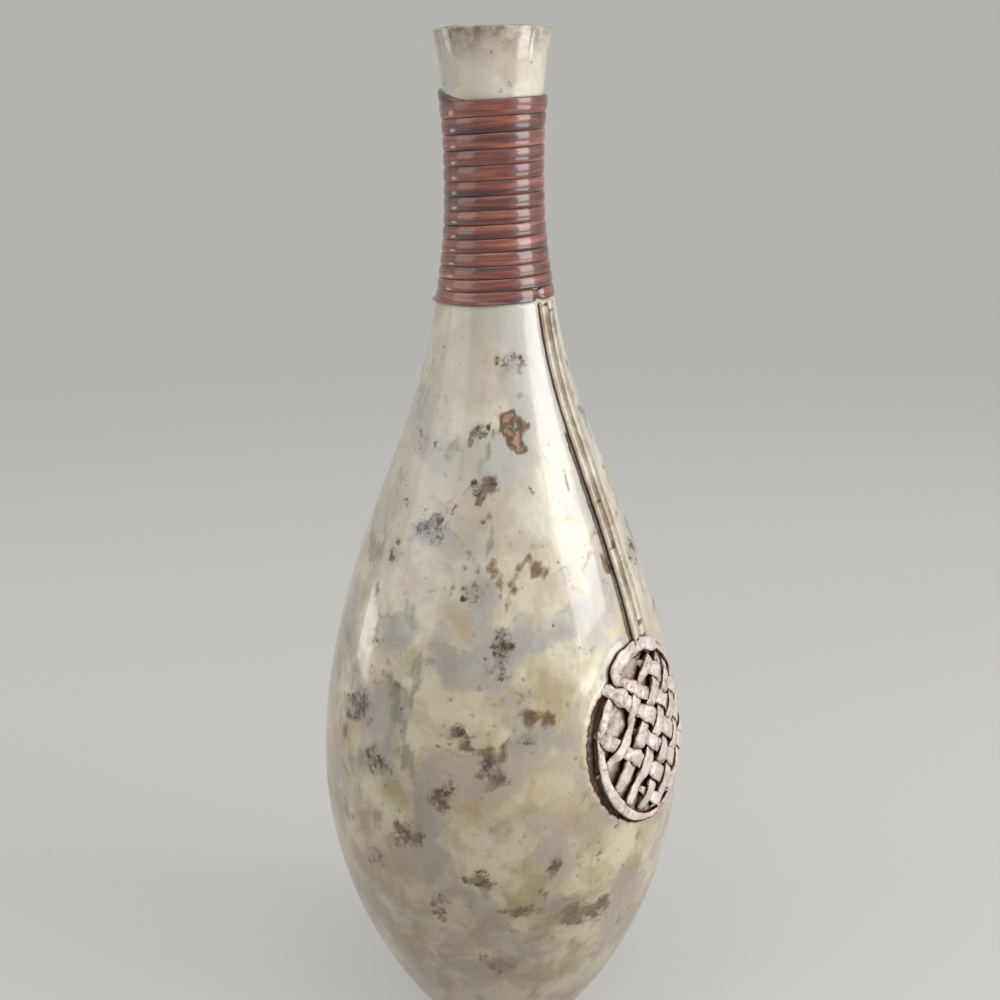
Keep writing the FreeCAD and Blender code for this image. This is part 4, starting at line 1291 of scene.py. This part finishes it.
# %% The faux stone's lacquer
stone_shader = stone.nodes["Principled BSDF"]
swell_noise = add(stone, NOISE, {"Vector": tall, "W": 3.0, "Scale": 1 / (15 * mm), "Detail": 3.0},
                  noise_dimensions="4D")
peel_noise = add(stone, NOISE, {"Vector": where, "Scale": 1 / (4.5 * mm), "Detail": 3.0})
peel = add(stone, MATH, {0: peel_noise, 1: 0.14, 2: swell_noise}, operation="MULTIPLY_ADD")
skin = add(stone, "ShaderNodeBump", {"Height": peel, "Strength": 1.0, "Distance": 1.3 * mm})
stone.links.new(live_output(finished), stone_shader.inputs["Base Color"])
stone.links.new(skin.outputs[0], stone_shader.inputs["Normal"])
stone_shader.inputs["Roughness"].default_value = 0.3
stone_shader.inputs["IOR"].default_value = 1.5
coated = add(stone, MATH, {0: wash_and_shade_share, 1: -0.55, 2: 0.7}, operation="MULTIPLY_ADD")
stone.links.new(coated.outputs[0], stone_shader.inputs["Coat Weight"])
stone_shader.inputs["Coat Roughness"].default_value = 0.08
print("faux stone:", len(stone.nodes), "nodes")

# %% [markdown]
# ## Lacquered clay with a dark wash and painted shade
# The relief is pale clay that was brushed with a red-brown wash, wiped and lacquered. The tops
# stay pale and glossy, a thin brown line lies beside each edge, and the deep corners are
# nearly black, where painted shade joins the wash. The `crevice` number drives this, with noise
# so that the wiping looks done by hand, and fine lines along the straps come from the tool that drew
# them.

# %% The washed clay with painted shade
def wash_and_shade_clay(material, top, second_top, thin_wash_and_shade, deep_wash_and_shade, wiping, combing_share):
    """Pale clay with wash and painted shade in its crevices, in a maker's colours."""
    material.use_nodes = True
    tree = material.node_tree
    at_point = add(tree, "ShaderNodeTexCoord").outputs["Object"]
    crevice = add(tree, "ShaderNodeAttribute", attribute_name="crevice").outputs["Fac"]
    aside = add(tree, "ShaderNodeAttribute", attribute_name="across").outputs["Fac"]
    along = add(tree, "ShaderNodeAttribute", attribute_name="along").outputs["Fac"]
    cloudy = add(tree, NOISE, {"Vector": at_point, "Scale": 1 / (9 * mm), "Detail": 4.0,
                               "Roughness": 0.6})
    tone = add(tree, RANGE, {0: cloudy, 1: 0.4, 2: 0.62})
    tops = add(tree, MIX, {0: tone, 6: top, 7: second_top}, data_type="RGBA")
    combing = add(tree, "ShaderNodeCombineXYZ", {"X": aside, "Y": along, "Z": 0.0})
    comb_map = add(tree, "ShaderNodeMapping", {"Vector": combing, "Scale": (4.5, 24.0, 1.0)})
    combs = add(tree, NOISE, {"Vector": comb_map, "Scale": 1.0, "Detail": 3.0})
    wiped = add(tree, NOISE, {"Vector": at_point, "Scale": 1 / (2.4 * mm), "Detail": 4.0,
                              "Roughness": 0.68})
    wipe = add(tree, MATH, {0: wiped, 1: 0.5}, operation="SUBTRACT")
    uneven = add(tree, MATH, {0: wipe, 1: wiping, 2: crevice}, operation="MULTIPLY_ADD")
    comb_off = add(tree, MATH, {0: combs, 1: 0.5}, operation="SUBTRACT")
    lined = add(tree, MATH, {0: comb_off, 1: combing_share, 2: uneven}, operation="MULTIPLY_ADD")
    # Painted shade with the wash: the thin level gives the brown line beside each edge, the deep level
    # the near-black corners.
    thin = add(tree, RANGE, {0: lined, 1: -0.04, 2: 0.27}, interpolation_type="SMOOTHSTEP")
    deep = add(tree, RANGE, {0: lined, 1: 0.22, 2: 0.42}, interpolation_type="SMOOTHSTEP")
    thinly = add(tree, MIX, {0: thin, 6: tops, 7: thin_wash_and_shade}, data_type="RGBA")
    deeply = add(tree, MIX, {0: deep, 6: thinly, 7: deep_wash_and_shade}, data_type="RGBA")
    shader = tree.nodes["Principled BSDF"]
    tree.links.new(live_output(deeply), shader.inputs["Base Color"])
    bumps = add(tree, MATH, {0: wiped, 1: combs}, operation="ADD")
    bumped = add(tree, "ShaderNodeBump", {"Height": bumps, "Strength": 1.0, "Distance": 0.4 * mm})
    tree.links.new(bumped.outputs[0], shader.inputs["Normal"])
    shader.inputs["Roughness"].default_value = 0.34
    shader.inputs["IOR"].default_value = 1.5
    shader.inputs["Coat Weight"].default_value = 0.8
    shader.inputs["Coat Roughness"].default_value = 0.12


wash_and_shade_clay(clay_with_wash_and_shade, "#DCD4CA", "#BFB0A6", "#8A6558", "#43241A", 0.9, 0.8)
# The ground is a darker copy: its own lilac-grey tone, darkened further as painted shade for lying deep
# under the straps.
ground_clay_with_wash_and_shade = bpy.data.materials.new("darker_clay_ground_with_wash_and_painted_shade")
wash_and_shade_clay(ground_clay_with_wash_and_shade, "#B4A39D", "#977F77", "#734F43", "#3F2016", 0.9, 0.0)
ground.data.materials[0] = ground_clay_with_wash_and_shade
combed_clay = bpy.data.materials.new("combed_clay_cords_with_dark_wash_and_painted_shade")
wash_and_shade_clay(combed_clay, "#D2CBB9", "#BFB499", "#8A7156", "#4A3325", 0.3, 1.2)
for cord in cords:
    cord.data.materials[0] = combed_clay
print("washed clay:", len(clay_with_wash_and_shade.node_tree.nodes), "nodes")

# %% [markdown]
# ## Dyed and lacquered cane
# Binding cane is the split outer skin of rattan, flat inside and glossy outside. Here it was
# dyed red-brown and lacquered. The dye took unevenly along the fibres: orange where it is thin,
# maroon where it is thick, with hair-fine dark lines lengthwise. The first row is more orange.

# %% The dyed cane
def dye_and_edge_shade_cane(material, light, middle, dark):
    """Dyed cane with streaks along its length, from light to dark, and painted shade along the edges of
    each row.
    """
    material.use_nodes = True
    tree = material.node_tree
    turns_here = add(tree, "ShaderNodeAttribute", attribute_name="turns").outputs["Fac"]
    aside = add(tree, "ShaderNodeAttribute", attribute_name="across").outputs["Fac"]
    fibre = add(tree, "ShaderNodeCombineXYZ", {"X": turns_here, "Y": aside, "Z": 0.0})
    broad_map = add(tree, "ShaderNodeMapping", {"Vector": fibre, "Scale": (2.6, 0.9, 1.0)})
    broad = add(tree, NOISE, {"Vector": broad_map, "Scale": 1.0, "Detail": 4.0, "Roughness": 0.6})
    fine_map = add(tree, "ShaderNodeMapping", {"Vector": fibre, "Scale": (9.0, 11.0, 1.0)})
    fine_lines = add(tree, NOISE, {"Vector": fine_map, "Scale": 1.0, "Detail": 5.0,
                                   "Roughness": 0.65})
    streak_sum = add(tree, MATH, {0: fine_lines, 1: 0.36, 2: broad}, operation="MULTIPLY_ADD")
    to_middle = add(tree, RANGE, {0: streak_sum, 1: 0.5, 2: 0.66})
    to_dark = add(tree, RANGE, {0: streak_sum, 1: 0.66, 2: 0.8})
    toned = add(tree, MIX, {0: to_middle, 6: light, 7: middle}, data_type="RGBA")
    darker = add(tree, MIX, {0: to_dark, 6: toned, 7: dark}, data_type="RGBA")
    # Painted shade: each row darkens to near black at its edges, in the gaps between the rows.
    edge_out = add(tree, MATH, {0: aside}, operation="ABSOLUTE")
    edge_share = add(tree, RANGE, {0: edge_out, 1: 0.86, 2: 1.0, 3: 0.0, 4: 0.75})
    edged = add(tree, MIX, {0: edge_share, 6: darker, 7: "#2A1410"}, data_type="RGBA")
    shader = tree.nodes["Principled BSDF"]
    tree.links.new(live_output(edged), shader.inputs["Base Color"])
    ridges = add(tree, "ShaderNodeBump",
                 {"Height": fine_lines, "Strength": 0.9, "Distance": 0.25 * mm})
    tree.links.new(ridges.outputs[0], shader.inputs["Normal"])
    shader.inputs["Roughness"].default_value = 0.32
    shader.inputs["IOR"].default_value = 1.5
    shader.inputs["Coat Weight"].default_value = 1.0
    shader.inputs["Coat Roughness"].default_value = 0.14


dye_and_edge_shade_cane(dyed_cane, "#B06A4A", "#7B3C30", "#45201D")
thinly_dyed = bpy.data.materials.new("thinly_dyed_lacquered_cane")
dye_and_edge_shade_cane(thinly_dyed, "#BE7A50", "#A35F3C", "#7A4028")
first_row.data.materials[0] = thinly_dyed
print("dyed cane:", len(dyed_cane.node_tree.nodes), "nodes")

# %% [markdown]
# ## Floor, backdrop and lamps
# A pale floor curves up into a pale backdrop. Two large soft lamps stand at the sides, as
# windows would, two low and weak ones draw the bright bands on the cane, and one above fills
# the shadows. The floor and the air look brighter to the camera and in reflections than the
# light that they throw on the vase, so the background is pale and the colours stay as written.

# %% Floor and backdrop
def seen_share(tree):
    """1 for what the camera sees, directly, mirrored or through glass, and 0 for other light."""
    rays = add(tree, "ShaderNodeLightPath").outputs
    mirrored = add(tree, MATH, {0: rays["Is Camera Ray"], 1: rays["Is Glossy Ray"]},
                   operation="MAXIMUM")
    return add(tree, MATH, {0: mirrored, 1: rays["Is Transmission Ray"]}, operation="MAXIMUM")


studio_pale = bpy.data.materials.new("matt_painted_board")
studio_pale.use_nodes = True
board = studio_pale.node_tree
board_shader = board.nodes["Principled BSDF"]
board_shader.inputs["Base Color"].default_value = linear("#C9C8C5")
board_shader.inputs["Roughness"].default_value = 0.9
board_shader.inputs["Specular IOR Level"].default_value = 0.1
glow_share = add(board, MATH, {0: seen_share(board), 1: 0.5}, operation="MULTIPLY")
glow = add(board, "ShaderNodeEmission", {"Color": "#D2D1CE", "Strength": 1.0})
board_mix = add(board, "ShaderNodeMixShader", {0: glow_share, 1: board_shader, 2: glow})
board.links.new(board_mix.outputs[0], board.nodes["Material Output"].inputs["Surface"])

half_wide = 7.0
floor_front, floor_back, bend_radius, wall_top = -4.0, 2.2, 1.2, 4.0
bend_steps = 16
backdrop_line = [(floor_front, 0.0)]
for k in range(bend_steps + 1):
    t = math.radians(90) * k / bend_steps
    backdrop_line.append((floor_back + bend_radius * math.sin(t),
                          bend_radius * (1 - math.cos(t))))
backdrop_line.append((floor_back + bend_radius, wall_top))
floor_points, floor_faces = [], []
for k, (away, height) in enumerate(backdrop_line):
    floor_points += [(-half_wide, away, height), (half_wide, away, height)]
    if k:
        floor_faces.append((2 * k - 2, 2 * k - 1, 2 * k + 1, 2 * k))
facing_camera = Matrix.Rotation(camera_azimuth, 4, "Z")
floor_mesh = bpy.data.meshes.new("studio_floor")
floor_mesh.from_pydata([facing_camera @ Vector(point) for point in floor_points], [], floor_faces)
floor_mesh.polygons.foreach_set("use_smooth", [True] * len(floor_mesh.polygons))
floor_mesh.materials.append(studio_pale)
floor = bpy.data.objects.new("studio_floor", floor_mesh)
bpy.context.scene.collection.objects.link(floor)

# %% Lamps
camera_right = camera.matrix_world.to_3x3() @ Vector((1, 0, 0))
camera_back = Vector((camera.location.x, camera.location.y, 0)).normalized()


def lamp(name, aside, back, height, size, size_up, watts, aim_height=0.25):
    """A soft rectangular lamp, placed from the vase: metres aside, towards the camera and up."""
    data = bpy.data.lights.new(name, "AREA")
    data.shape = "RECTANGLE"
    data.size = size
    data.size_y = size_up
    data.energy = watts
    made = bpy.data.objects.new(name, data)
    bpy.context.scene.collection.objects.link(made)
    made.location = camera_right * aside + camera_back * back + Vector((0, 0, height))
    towards = Vector((0, 0, aim_height)) - made.location
    made.rotation_euler = towards.to_track_quat("-Z", "Y").to_euler()
    return made


lamp("right_window", 1.25, 0.45, 0.85, 0.8, 1.0, 14.5)
lamp("left_window", -1.3, 0.5, 0.9, 1.2, 1.2, 6)
lamp("right_low", 1.2, 0.45, 0.13, 0.8, 0.22, 3.2, aim_height=0.15)
lamp("left_low", -1.25, -0.3, 0.13, 0.35, 0.22, 0.8, aim_height=0.15)
lamp("overhead_fill", 0.0, 0.6, 2.2, 1.6, 1.6, 12)

world = bpy.data.worlds.new("studio_air")
bpy.context.scene.world = world
world.use_nodes = True
air = world.node_tree
for node in list(air.nodes):
    air.nodes.remove(node)
lit = add(air, "ShaderNodeBackground", {"Color": "#F0F0EE", "Strength": 0.42})
shown = add(air, "ShaderNodeBackground", {"Color": "#D2D1CE", "Strength": 0.8})
chosen = add(air, "ShaderNodeMixShader", {0: seen_share(air), 1: lit, 2: shown})
add(air, "ShaderNodeOutputWorld", {0: chosen})

# %% [markdown]
# ## Hand the pieces to the frame
# Each finished piece takes the place of one node of the construction model and stays with the
# vase's body. The drawings that only the node trees read are removed first.

# %% Replace and ride
for helper in helpers:
    bpy.data.objects.remove(helper)
dressed = [(shell, "vase_shell", "lacquered_ceramic"),
           (binding, "neck_binding", "lacquered_cane"),
           (first_row, "binding_first_row", "lacquered_cane"),
           (ground, "medallion_ground", "washed_ceramic_relief"),
           (rim, "medallion_rim", "washed_ceramic_relief"),
           (cords[0], "pendant_cord_left", "lacquered_ceramic"),
           (cords[1], "pendant_cord_right", "lacquered_ceramic")]
for k, piece in enumerate(straps):
    family, number = ("rising", k + 1) if k < rising_count else ("falling", k + 1 - rising_count)
    dressed.append((piece, f"{family}_strap_{number}", "washed_ceramic_relief"))
for piece, node, slot in dressed:
    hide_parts(node)
    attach(piece, "root")
print("dressed:", len(dressed), "pieces")
